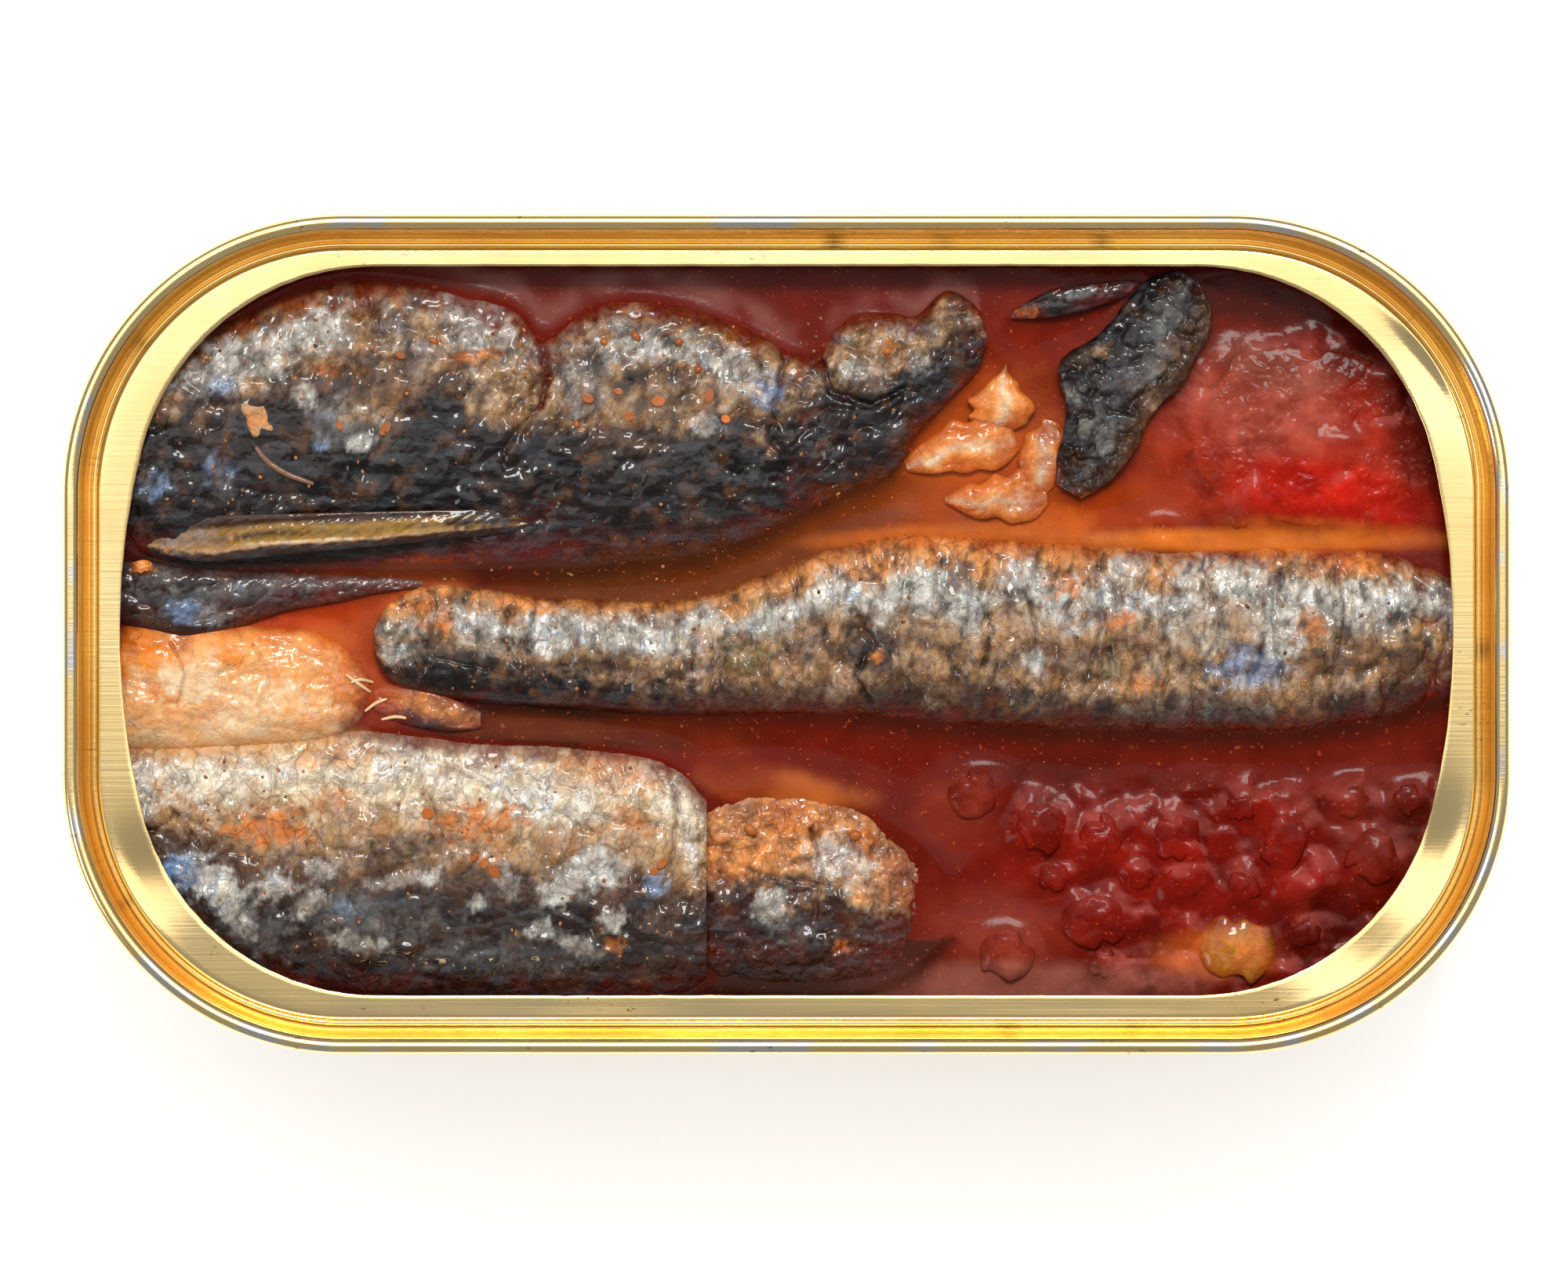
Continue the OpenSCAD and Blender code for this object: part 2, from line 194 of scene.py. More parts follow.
def through(stations, u):
    # Catmull-Rom curve through the rows of stations, u from 0 to 1
    p = np.asarray(stations, float)
    n = len(p) - 1
    s = np.clip(u, 0, 1) * n
    i = np.minimum(s.astype(int), n - 1)
    f = (s - i)[:, None]
    a, b, c, d = p[np.maximum(i - 1, 0)], p[i], p[i + 1], p[np.minimum(i + 2, n)]
    return b + f * (c - a + f * (2 * a - 5 * b + 4 * c - d + f * (3 * b - a - 3 * c + d))) / 2


def gridFaces(rows, cols, closeRows=False, closeCols=False):
    # quads of a rows by cols grid of points, row after row; a closed grid joins its last row or column to its first
    i = np.arange(rows if closeRows else rows - 1)[:, None]
    j = np.arange(cols if closeCols else cols - 1)[None, :]
    i2, j2 = (i + 1) % rows, (j + 1) % cols
    return np.stack([i * cols + j, i2 * cols + j, i2 * cols + j2, i * cols + j2], -1).reshape(-1, 4)


def makeMesh(name, verts, quads, extra=()):
    # points in millimetres and quads into a mesh object; extra holds faces with other numbers of corners
    verts = np.asarray(verts, float).reshape(-1, 3) * mm
    quads = np.asarray(quads, np.int32).reshape(-1, 4)
    loops = [quads.ravel()] + [np.asarray(f, np.int32) for f in extra]
    sizes = np.concatenate([np.full(len(quads), 4)] + [np.full(1, len(f)) for f in extra])
    mesh = bpy.data.meshes.new(name)
    mesh.vertices.add(len(verts))
    mesh.vertices.foreach_set("co", verts.ravel())
    loops = np.concatenate(loops)
    mesh.loops.add(len(loops))
    mesh.loops.foreach_set("vertex_index", loops)
    mesh.polygons.add(len(sizes))
    mesh.polygons.foreach_set("loop_start", np.concatenate([[0], np.cumsum(sizes)[:-1]]))
    mesh.polygons.foreach_set("use_smooth", np.full(len(sizes), True))
    mesh.update(calc_edges=True)
    mesh.validate()
    obj = bpy.data.objects.new(name, mesh)
    bpy.context.scene.collection.objects.link(obj)
    return obj


def paint(obj, name, values):
    # a colour (n by 3) or a mask (n) kept on the points of a mesh
    values = np.asarray(values, float)
    if values.ndim == 1:
        layer = obj.data.attributes.new(name, "FLOAT", "POINT")
        layer.data.foreach_set("value", values)
    else:
        layer = obj.data.color_attributes.new(name, "FLOAT_COLOR", "POINT")
        layer.data.foreach_set("color", np.hstack([values, np.ones((len(values), 1))]).ravel())


def settle(obj, slot, *nodes):
    # every piece lies in the one body of the tin
    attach(obj, "root")
    if nodes:
        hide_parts(*nodes)
    return obj


def linear(r, g, b):
    # a colour as the eye names it, 0 to 255, as light
    return tuple(((c / 255 + 0.055) / 1.055) ** 2.4 if c > 10 else c / 255 / 12.92 for c in (r, g, b))


# materials

class nodeSheet:
    # short ways to place and join the nodes of one material or group
    def __init__(self, tree):
        self.tree = tree  # the tree that gets the nodes

    def add(self, kind, **settings):
        # a new node with its settings
        node = self.tree.nodes.new(kind)
        for key, value in settings.items():
            setattr(node, key, value)
        return node

    def join(self, a, b):
        # a link from socket a to socket b
        self.tree.links.new(a, b)

    def give(self, socket, value):
        # a link where the value comes from a node, else a colour or a number
        if hasattr(value, "is_output"):
            self.join(value, socket)
        else:
            socket.default_value = (*value, 1) if isinstance(value, tuple) else value

    def mix(self, factor, a, b, mode="MIX"):
        # colour a, and colour b laid over it by the factor
        node = self.add("ShaderNodeMix", data_type="RGBA", blend_type=mode)
        for k, value in ((0, factor), (6, a), (7, b)):
            self.give(node.inputs[k], value)
        return node.outputs[2]

    def math(self, operation, a, b=None, clamp=False):
        # one sum with one or two numbers
        node = self.add("ShaderNodeMath", operation=operation, use_clamp=clamp)
        for k, value in enumerate((a,) if b is None else (a, b)):
            self.give(node.inputs[k], value)
        return node.outputs[0]

    def times(self, a, b):
        # two numbers multiplied
        return self.math("MULTIPLY", a, b)

    def span(self, value, a, b, c=0.0, d=1.0):
        # a to b stretched onto c to d and held at both ends
        node = self.add("ShaderNodeMapRange", clamp=True)
        for k, v in enumerate((value, a, b, c, d)):
            self.give(node.inputs[k], v)
        return node.outputs[0]

    def attribute(self, name, colour=False):
        # what paint() left on the points
        node = self.add("ShaderNodeAttribute", attribute_name=name)
        return node.outputs["Color"] if colour else node.outputs["Fac"]

    def noise(self, coords, scale, detail=3.0, rough=0.55):
        # soft noise, so many grains to the metre
        node = self.add("ShaderNodeTexNoise")
        dial(node, {"Scale": scale, "Detail": detail, "Roughness": rough})
        self.join(coords, node.inputs["Vector"])
        return node.outputs["Fac"]

    def place(self, scale=(1, 1, 1)):
        # where a point lies on the object, squeezed along each axis
        where = self.add("ShaderNodeTexCoord")
        mapping = self.add("ShaderNodeMapping")
        mapping.inputs["Scale"].default_value = scale
        self.join(where.outputs["Object"], mapping.inputs["Vector"])
        return mapping.outputs["Vector"]

    def bend(self, colour, reach, coords):
        # coordinates moved about by a noise colour
        node = self.add("ShaderNodeVectorMath", operation="MULTIPLY_ADD")
        self.join(colour, node.inputs[0])
        node.inputs[1].default_value = (reach,) * 3
        self.join(coords, node.inputs[2])
        return node.outputs[0]

    def bump(self, height, strength, distance):
        # a normal tilted by the slope of a height
        node = self.add("ShaderNodeBump")
        dial(node, {"Strength": strength, "Distance": distance})
        self.join(height, node.inputs["Height"])
        return node.outputs["Normal"]


def newMaterial(name):
    # a material, a sheet for its nodes, and its shader
    mat = bpy.data.materials.new(name)
    mat.use_nodes = True
    return mat, nodeSheet(mat.node_tree), mat.node_tree.nodes["Principled BSDF"]


def newGroup(name, inputs, outputs):
    # a node group with named number inputs and outputs
    tree = bpy.data.node_groups.new(name, "ShaderNodeTree")
    for title, value in inputs:
        tree.interface.new_socket(title, in_out="INPUT", socket_type="NodeSocketFloat").default_value = value
    for title in outputs:
        tree.interface.new_socket(title, in_out="OUTPUT", socket_type="NodeSocketFloat")
    sheet = nodeSheet(tree)
    return tree, sheet, tree.nodes.new("NodeGroupInput").outputs, tree.nodes.new("NodeGroupOutput").inputs


plate = dict(
    gold=linear(247, 221, 162), deepGold=linear(240, 206, 140), bare=linear(214, 212, 208),
    markBrown=linear(92, 62, 24), lineDepth=0.6, nicks=0.7, lidRough=0.12, bodyRough=0.24, roughMore=0.08,
    rolling=(60, 5200, 5200), streaks=(25, 900, 900), streakShare=0.35,  # grains to the metre along x, y, z
    cloudScale=90.0, cloudGold=(0.35, 0.7), cloudRough=(0.3, 0.8),
    nickScale=1500.0, nickSpan=(0.64, 0.70), rareScale=210.0, rareSpan=(0.56, 0.66),
    bump=0.25, bumpHigh=0.00002)


def makePlateGrain():
    # rolling lines along X, tiny nicks and cloudy lacquer, shared by the lid and the tin
    tree, sheet, given, put = newGroup(
        "plateGrain", [("Line Depth", 0.5), ("Nick Amount", 0.5)], ["Height", "Cloud", "Nicks"])
    lines = sheet.noise(sheet.place(plate["rolling"]), 1.0, 2.0)
    broad = sheet.noise(sheet.place(plate["streaks"]), 1.0, 2.0)
    height = sheet.math("ADD", sheet.times(lines, given["Line Depth"]), sheet.times(broad, plate["streakShare"]))
    sheet.join(height, put["Height"])
    sheet.join(sheet.noise(sheet.place(), plate["cloudScale"], 3.0), put["Cloud"])
    spots = sheet.noise(sheet.place((1, 1.8, 1)), plate["nickScale"], 2.0)
    rare = sheet.noise(sheet.place(), plate["rareScale"], 2.0)
    nicks = sheet.times(sheet.span(spots, *plate["nickSpan"]), sheet.span(rare, *plate["rareSpan"]))
    sheet.join(sheet.times(nicks, given["Nick Amount"]), put["Nicks"])
    return tree


def plateMaterial(name, rough, grainGroup):
    # gold lacquer in two tones over plate, bare where it is worn, brown in nicks and in patches low under the panel
    mat, sheet, bsdf = newMaterial(name)
    group = sheet.add("ShaderNodeGroup", node_tree=grainGroup)
    dial(group, {"Line Depth": plate["lineDepth"], "Nick Amount": plate["nicks"]})
    base = sheet.mix(sheet.span(group.outputs["Cloud"], *plate["cloudGold"]), plate["gold"], plate["deepGold"])
    for mask, tone in ((sheet.attribute("wear"), "bare"), (group.outputs["Nicks"], "markBrown"),
                       (sheet.attribute("belowPanelBrown"), "markBrown")):
        base = sheet.mix(mask, base, plate[tone])
    sheet.join(base, bsdf.inputs["Base Color"])
    bsdf.inputs["Metallic"].default_value = 1.0
    uneven = sheet.span(group.outputs["Cloud"], *plate["cloudRough"], rough, rough + plate["roughMore"])
    sheet.join(uneven, bsdf.inputs["Roughness"])
    sheet.join(sheet.bump(group.outputs["Height"], plate["bump"], plate["bumpHigh"]), bsdf.inputs["Normal"])
    return mat


# the tin: the ring of lid with its seam, and the drawn body

lidSize = [(b - a) / mm for a, b in zip(*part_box("lid_ring"))]
tin = dict(
    length=lidSize[0], width=lidSize[1], height=cadBox[1][2] / mm, corner=20.3, plate=0.21, paintedSheen=0.03,
    seamHeight=3.05, hook=1.7, lean=0.75, grooveDrop=4.0, groove=0.42, panelDrop=3.0, shoulder=0.35,
    ledgeSide=3.95, ledgeEnd=4.05, cornerStep=2.7, endBow=55.0, openingShift=0.25,
    baseRound=2.2, foot=3.6, baseRise=0.8, baseStep=1.0,
    lipRound=0.07, ragged=0.012, wave=0.012, waveLong=(6.0, 5.0), worn=(36.5, 28.0, 9.0),
    dents=[(48.0, 20.5, 3.2, 0.34), (45.5, -15.5, 3.6, 0.34), (39.0, -22.0, 3.0, 0.25), (-46.5, -17.5, 3.0, 0.2)],
    cornerSteps=44, longSteps=56, shortSteps=18)
coreX = tin["length"] / 2 - tin["corner"]
coreY = tin["width"] / 2 - tin["corner"]
foldWide = 3 * tin["plate"] + 2 * tin["paintedSheen"]
seamWide = 5 * tin["plate"] + 4 * tin["paintedSheen"]
wallOut = tin["corner"] - foldWide - tin["paintedSheen"]
wallIn = wallOut - tin["plate"]
panelZ = tin["height"] - tin["panelDrop"]


def roundPath():
    # once round the tin: the place on the core rectangle and the way outwards, anticlockwise from +X
    core, out = [], []
    corners = [(1, 1), (-1, 1), (-1, -1), (1, -1)]
    for k, (sx, sy) in enumerate(corners):
        turn = np.radians(90 * k + np.linspace(0, 90, tin["cornerSteps"] + 1))
        way = np.stack([np.cos(turn), np.sin(turn)], 1)
        core.append(np.tile([[sx * coreX, sy * coreY]], (len(way), 1)))
        out.append(way)
        nextX, nextY = corners[(k + 1) % 4]
        steps = tin["longSteps"] if k % 2 == 0 else tin["shortSteps"]
        f = np.linspace(0, 1, steps + 1)[1:-1, None]
        core.append((1 - f) * [[sx * coreX, sy * coreY]] + f * [[nextX * coreX, nextY * coreY]])
        out.append(np.tile(way[-1:], (len(f), 1)))
    return np.concatenate(core), np.concatenate(out)


def bend(centre, radius, start, stop, steps=10):
    # arc of a profile, angles in degrees
    t = np.radians(np.linspace(start, stop, steps + 1))
    return np.stack([centre[0] + radius * np.cos(t), centre[1] + radius * np.sin(t)], 1)


def thicken(path, t):
    # the other side of a strip: each point moved by t across the path, mitred
    step = np.diff(path, axis=0)
    step /= np.linalg.norm(step, axis=1)[:, None]
    normal = np.stack([-step[:, 1], step[:, 0]], 1)
    a = np.vstack([normal[:1], normal])
    b = np.vstack([normal, normal[-1:]])
    m = a + b
    return path + m * (2 * t / (m * m).sum(1))[:, None]


def openingDistance(x, y):
    # how far outside the torn opening a place is: four tight corners, straight sides and bowed ends
    halfL, halfW = tin["length"] / 2 - tin["ledgeEnd"], tin["width"] / 2 - tin["ledgeSide"]
    tight = tin["corner"] - tin["cornerStep"]
    bowX, ty = halfL - tin["endBow"], halfW - tight
    tx = bowX + math.sqrt((tin["endBow"] - tight) ** 2 - ty * ty)
    ax, ay = np.abs(x), np.abs(y - tin["openingShift"])
    side = ay - halfW
    corner = np.hypot(ax - tx, ay - ty) - tight
    end = np.hypot(ax - bowX, ay) - tin["endBow"]
    inEnd = (ay * (tx - bowX) < ty * (ax - bowX))
    return np.where(inEnd, end, np.where(ax < tx, side, np.where(ay < ty, end, corner)))


def tornRadius(core, way, outer):
    # along each inward line from the shoulder, how far from the core the torn edge lies (halving the span)
    lo, hi = np.zeros(len(core)), np.full(len(core), outer)
    for _ in range(30):
        mid = (lo + hi) / 2
        inside = openingDistance(core[:, 0] + way[:, 0] * mid, core[:, 1] + way[:, 1] * mid) < 0
        lo, hi = np.where(inside, mid, lo), np.where(inside, hi, mid)
    return lo


def sweepTin(radii, heights, core, way, closed=True):
    # profile points (radius from the core, height) carried round the core; radii may differ at each step
    radii = np.broadcast_to(radii, (len(core), len(heights)))
    x = core[:, :1] + way[:, :1] * radii
    y = core[:, 1:] + way[:, 1:] * radii
    z = np.broadcast_to(heights, radii.shape)
    return np.stack([x, y, z], -1), gridFaces(len(core), len(heights), True, closed)


def makeLid(grainGroup):
    # profile from the torn edge over the shoulder, groove, chuck wall and crown down to the cover hook
    core, way = roundPath()
    h, t = tin["height"], tin["plate"]
    grooveR = tin["groove"] / 2
    crown = (tin["corner"] - seamWide / 2, h - seamWide / 2)
    groove = (tin["corner"] - seamWide - tin["lean"] - grooveR, h - tin["grooveDrop"] + grooveR)
    inner = groove[0] - grooveR
    hookZ = h - tin["seamHeight"] + foldWide / 2
    shoulder = bend((inner - tin["shoulder"], panelZ - tin["shoulder"]), tin["shoulder"], 90, 0, 8)
    chuck = np.linspace([groove[0] + grooveR, groove[1]], [crown[0] - seamWide / 2, crown[1]], 7)[1:-1]
    upper = np.vstack([
        shoulder, bend(groove, grooveR, 180, 360, 10), chuck, bend(crown, seamWide / 2, 180, 0, 20),
        bend((tin["corner"] - foldWide / 2, hookZ), foldWide / 2, 0, -180, 10),
        [[tin["corner"] - foldWide, hookZ + tin["hook"]]]])
    lower = thicken(np.vstack([[[shoulder[0, 0] - 1, panelZ]], upper]), -t)[1:]
    torn = tornRadius(core, way, shoulder[0, 0])[:, None]
    torn = torn + np.random.default_rng(5).normal(0, tin["ragged"], len(core))[:, None]
    f = np.linspace(0, 1, 9)[None, :-1]
    lipR = tin["lipRound"]
    edge = torn + lipR
    ledge = edge + (shoulder[0, 0] - edge) * f
    ledgeZ = np.full(f.shape[1], panelZ)
    lip = np.concatenate([torn + lipR * 0.29, torn, torn, torn + lipR * 0.5], 1)
    lipZ = np.array([panelZ - lipR * 0.29, panelZ - lipR, panelZ - t + 0.05, panelZ - t - 0.02])
    n = len(core)
    radii = np.hstack([ledge, np.tile(upper[:, 0], (n, 1)), np.tile(lower[::-1, 0], (n, 1)),
                       (edge + (shoulder[0, 0] - edge) * np.array([[0.6, 0.2]])), lip[:, ::-1]])
    heights = np.concatenate([ledgeZ, upper[:, 1], lower[::-1, 1], [panelZ - t, panelZ - t], lipZ[::-1]])
    verts, faces = sweepTin(radii, heights, core, way)
    # the ledge is not quite flat: shallow dents near two corners and a slow wave
    dented = (verts[..., 2] > panelZ - 0.3) & (verts[..., 2] < panelZ + 0.02)
    dip = np.zeros(verts.shape[:2])
    for px, py, reach, deep in tin["dents"]:
        dip -= deep * np.exp(-((verts[..., 0] - px) ** 2 + (verts[..., 1] - py) ** 2) / reach ** 2)
    longX, longY = tin["waveLong"]
    dip += tin["wave"] * np.sin(verts[..., 0] / longX + 1.0) * np.cos(verts[..., 1] / longY)
    verts[..., 2] += dip * dented * np.clip((shoulder[0, 0] + 0.2 - radii) / 0.8, 0, 1)
    lid = makeMesh("lidRing", verts, faces[:, ::-1])
    flat = verts.reshape(-1, 3)
    crownTop = rise(h - 0.35, h - 0.02, flat[:, 2])
    wear = crownTop * rise(0.12, 0.3, cloud(flat[:, 0], flat[:, 1], 4.0, 71, 3))
    wornX, wornY, wornR = tin["worn"]  # a patch of the seam where the lacquer is rubbed through
    wear = np.maximum(wear, crownTop * rise(0, 1, 1 - np.hypot(flat[:, 0] - wornX, flat[:, 1] - wornY) / wornR)
                      * rise(-0.1, 0.15, cloud(flat[:, 0], flat[:, 1], 1.6, 72, 2)))
    # brown patches, only on the parts more than half a millimetre under the panel: the groove and the foot of the
    # chuck wall
    belowPanelBrown = rise(0.35, 0.6, cloud(flat[:, 0], flat[:, 1], 2.2, 73, 3)) * (flat[:, 2] < panelZ - 0.5) * 0.6
    paint(lid, "wear", wear * 0.9)
    paint(lid, "belowPanelBrown", belowPanelBrown)
    lid.data.materials.append(plateMaterial("lidLacquer", plate["lidRough"], grainGroup))
    return settle(lid, "lid_lacquer", "lid_ring")


def makeBody(grainGroup):
    # profile from the base panel over the foot and up the wall to the body hook, then back inside
    core, way = roundPath()
    h, t = tin["height"], tin["plate"]
    footIn = wallOut - tin["baseRound"] - tin["foot"]
    bendR = foldWide / 2 - t
    crown = (tin["corner"] - seamWide / 2, h - seamWide / 2)
    stepR, up = footIn - tin["baseStep"], tin["baseRise"]
    step = np.array([[stepR - 2.5, up], [stepR - 0.25, up], [stepR + 0.1, up - 0.08], [footIn - 0.1, 0.08],
                     [footIn + 0.25, 0]])
    wall = np.stack([np.full(24, wallOut), np.linspace(tin["baseRound"], crown[1], 24)], 1)[1:-1]
    outside = np.vstack([step, bend((wallOut - tin["baseRound"], tin["baseRound"]), tin["baseRound"], -90, 0, 12),
                         wall, bend(crown, bendR, 180, 0, 8), [[crown[0] + bendR, crown[1] - tin["hook"]]]])
    inside = thicken(outside, t)
    loop = np.vstack([outside, inside[::-1]])
    verts, faces = sweepTin(loop[:, 0], loop[:, 1], core, way, closed=False)
    count, wide = verts.shape[:2]
    flat = verts.reshape(-1, 3)
    # the base panel: rings that shrink to its middle, outside and inside
    shrink = np.array([0.75, 0.5, 0.25])
    parts, quads = [flat], [faces]
    start = len(flat)
    for edge, flip in ((0, False), (wide - 1, True)):
        ring = verts[:, edge, :]
        rings = ring[None] * np.array([1, 1, 0]) * shrink[:, None, None] + ring[None] * np.array([0, 0, 1])
        parts.append(rings.reshape(-1, 3))
        parts.append(np.array([[0, 0, ring[0, 2]]]))
        index = np.vstack([np.arange(count) * wide + edge,
                           start + np.arange(3 * count).reshape(3, count)])
        a, b = index[:-1], index[1:]
        q = np.stack([a, b, np.roll(b, -1, 1), np.roll(a, -1, 1)], -1).reshape(-1, 4)
        quads.append(q[:, ::-1] if flip else q)
        hub = start + 3 * count
        last = index[-1]
        fan = np.stack([last, np.full(count, hub), np.roll(last, -1)], -1)
        quads.append((fan[:, ::-1] if flip else fan))
        start += 3 * count + 1
    tris = [f for q in quads if q.shape[1] == 3 for f in q]
    body = makeMesh("tinBody", np.vstack(parts), np.vstack([q for q in quads if q.shape[1] == 4]), tris)
    place = np.vstack(parts)
    paint(body, "wear", rise(0.3, 0.5, cloud(place[:, 0] + place[:, 2], place[:, 1], 5.0, 81, 3)) * 0.25)
    paint(body, "belowPanelBrown", np.zeros(len(place)))
    body.data.materials.append(plateMaterial("tinLacquer", plate["bodyRough"], grainGroup))
    return settle(body, "tin_inside_out", "tin_body")


plateGrain = makePlateGrain()
makeLid(plateGrain)
makeBody(plateGrain)
print("tin ready")

# fish, flesh and sauce: shared skin and shapes

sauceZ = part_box("sauce")[1][2] / mm
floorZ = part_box("sauce")[0][2] / mm + tin["baseRise"]
sauceDeep = sauceZ - floorZ
fishRise = 1.9  # highest back over the sauce
pressR = wallIn - 0.3


def pressIn(x, y):
    # the side wall holds everything in: a place past it is drawn back along its line from the core
    cx, cy = np.clip(x, -coreX, coreX), np.clip(y, -coreY, coreY)
    far = np.hypot(x - cx, y - cy)
    k = np.where(far > pressR, pressR / np.maximum(far, 1e-9), 1)
    return cx + (x - cx) * k, cy + (y - cy) * k


def oval(x, y, place, reach, turn, ragged, size, seed):
    # 1 inside a turned ellipse, 0 outside, with a soft torn edge
    u, v = turned(x, y, turn, place)
    far = np.hypot(u / reach[0], v / reach[1]) + ragged * cloud(x, y, size, seed, 3)
    return rise(1.3, 0.6, far)


def lineAway(x, y, points):
    # distance to the nearest part of a broken line through the points
    best = np.full(x.shape, 1e9)
    pts = np.asarray(points, float)
    for p, q in zip(pts[:-1], pts[1:]):
        d = q - p
        t = np.clip(((x - p[0]) * d[0] + (y - p[1]) * d[1]) / np.hypot(*d) ** 2, 0, 1)
        best = np.minimum(best, np.hypot(x - p[0] - t * d[0], y - p[1] - t * d[1]))
    return best


def blend(colour, over, mask):
    # one colour laid over the colours of all the points, as far as the mask says
    return colour + (np.asarray(over)[None] - colour) * mask[:, None]


# colour as the eye names it, how much silver foil shows on it, how much wetness and painted grey sheen it has
tones = dict(
    silver=((202, 202, 196), 1.0, 0.1), pearl=((228, 216, 196), 0.7, 0.0), blue=((120, 165, 225), 0.7, 0.1),
    tan=((176, 136, 92), 0.25, 0.0), orange=((214, 124, 48), 0.05, 0.0), amber=((128, 70, 18), 0.05, 0.0),
    brown=((92, 62, 40), 0.1, 0.2), dark=((34, 25, 24), 0.0, 0.8), black=((14, 12, 14), 0.0, 0.9),
    grey=((110, 104, 104), 0.5, 0.4), steel=((150, 142, 130), 0.65, 0.2), slate=((70, 68, 68), 0.3, 0.9),
    umber=((58, 36, 22), 0.0, 0.5), apricot=((242, 164, 92), 0.0, 0.0), brass=((150, 116, 36), 0.1, 0.0),
    tomato=((150, 26, 22), 0.0, 0.0), cherry=((178, 40, 30), 0.0, 0.0), pepper=((160, 96, 24), 0.0, 0.0),
    gilt=((180, 130, 36), 0.0, 0.0), peach=((220, 148, 84), 0.05, 0.0), flesh=((228, 170, 110), 0.35, 0.0),
    rose=((190, 120, 96), 0.1, 0.0), yolk=((244, 142, 34), 0.0, 0.0), cream=((232, 212, 176), 0.45, 0.0),
    olive=((122, 104, 48), 0.2, 0.2))
tones = {name: (linear(*rgb), foil, wetAndSheen) for name, (rgb, foil, wetAndSheen) in tones.items()}


def skinLook(x, y, across, look):
    # zones from the rear edge to the front one, patches laid over them, then blotches, shadows and a fine mottle;
    # gives colour, foil, and the share of wetness and painted grey sheen
    seed = look["seed"]
    warp = look["warp"] * (1.1 * cloud(x, y, 5.5, seed + 2, 2) + cloud(x, y, 2.4, seed, 4)
                           + 0.4 * cloud(x, y, 0.7, seed + 3, 2))
    t = np.clip(across + warp, 0, 1)
    stops = np.array([stop for stop, _ in look["zones"]])
    colours = np.array([tones[tone][0] for _, tone in look["zones"]])
    hue = np.stack([np.interp(t, stops, colours[:, k]) for k in range(3)], 1)
    foil, wetAndSheen = [np.interp(t, stops, [tones[tone][k] for _, tone in look["zones"]]) for k in (1, 2)]
    for k, (tone, px, py, rx, ry, turn, amount) in enumerate(look["patches"]):
        near = (np.abs(x - px) < rx + ry + 2) & (np.abs(y - py) < rx + ry + 2)
        if not near.any():
            continue
        nx, ny = x[near], y[near]
        mask = np.zeros(len(x))
        torn = 0.55 + 0.45 * rise(-0.35, 0.25, cloud(nx, ny, 0.9, seed + 90 + k, 3, 35 * k, 1.6))
        edge = 0.35 + 0.4 * min(rx, ry)  # size of the rags round a patch
        mask[near] = amount * torn * oval(nx, ny, (px, py), (rx, ry), turn, 0.95, edge, seed + k)
        hue = blend(hue, tones[tone][0], mask)
        foil += (tones[tone][1] - foil) * mask
        wetAndSheen += (tones[tone][2] - wetAndSheen) * mask
    blotch = look["blotch"] * rise(0.02, 0.42, cloud(x, y, 1.9, seed + 41, 4))
    hue = blend(hue, np.array(tones["brown"][0]) * 1.25, 0.8 * blotch)
    foil = foil * (1 - 0.7 * blotch)
    shadow = look["blotch"] * rise(0.08, 0.4, cloud(x, y, 1.2, seed + 42, 4, look["relief"]["turn"], 1.5))
    hue = blend(hue, tones["dark"][0], 0.75 * shadow)
    foil = foil * (1 - 0.8 * shadow) * (0.45 + 0.55 * rise(-0.15, 0.15, cloud(x, y, 1.5, seed + 43, 4)))
    mottle = cloud(x, y, 0.9, seed + 40, 3)
    hue = hue * (1 + look["mottle"] * mottle)[:, None]
    return np.clip(hue, 0.002, 0.95), np.clip(foil, 0, 1), np.clip(wetAndSheen, 0, 1)


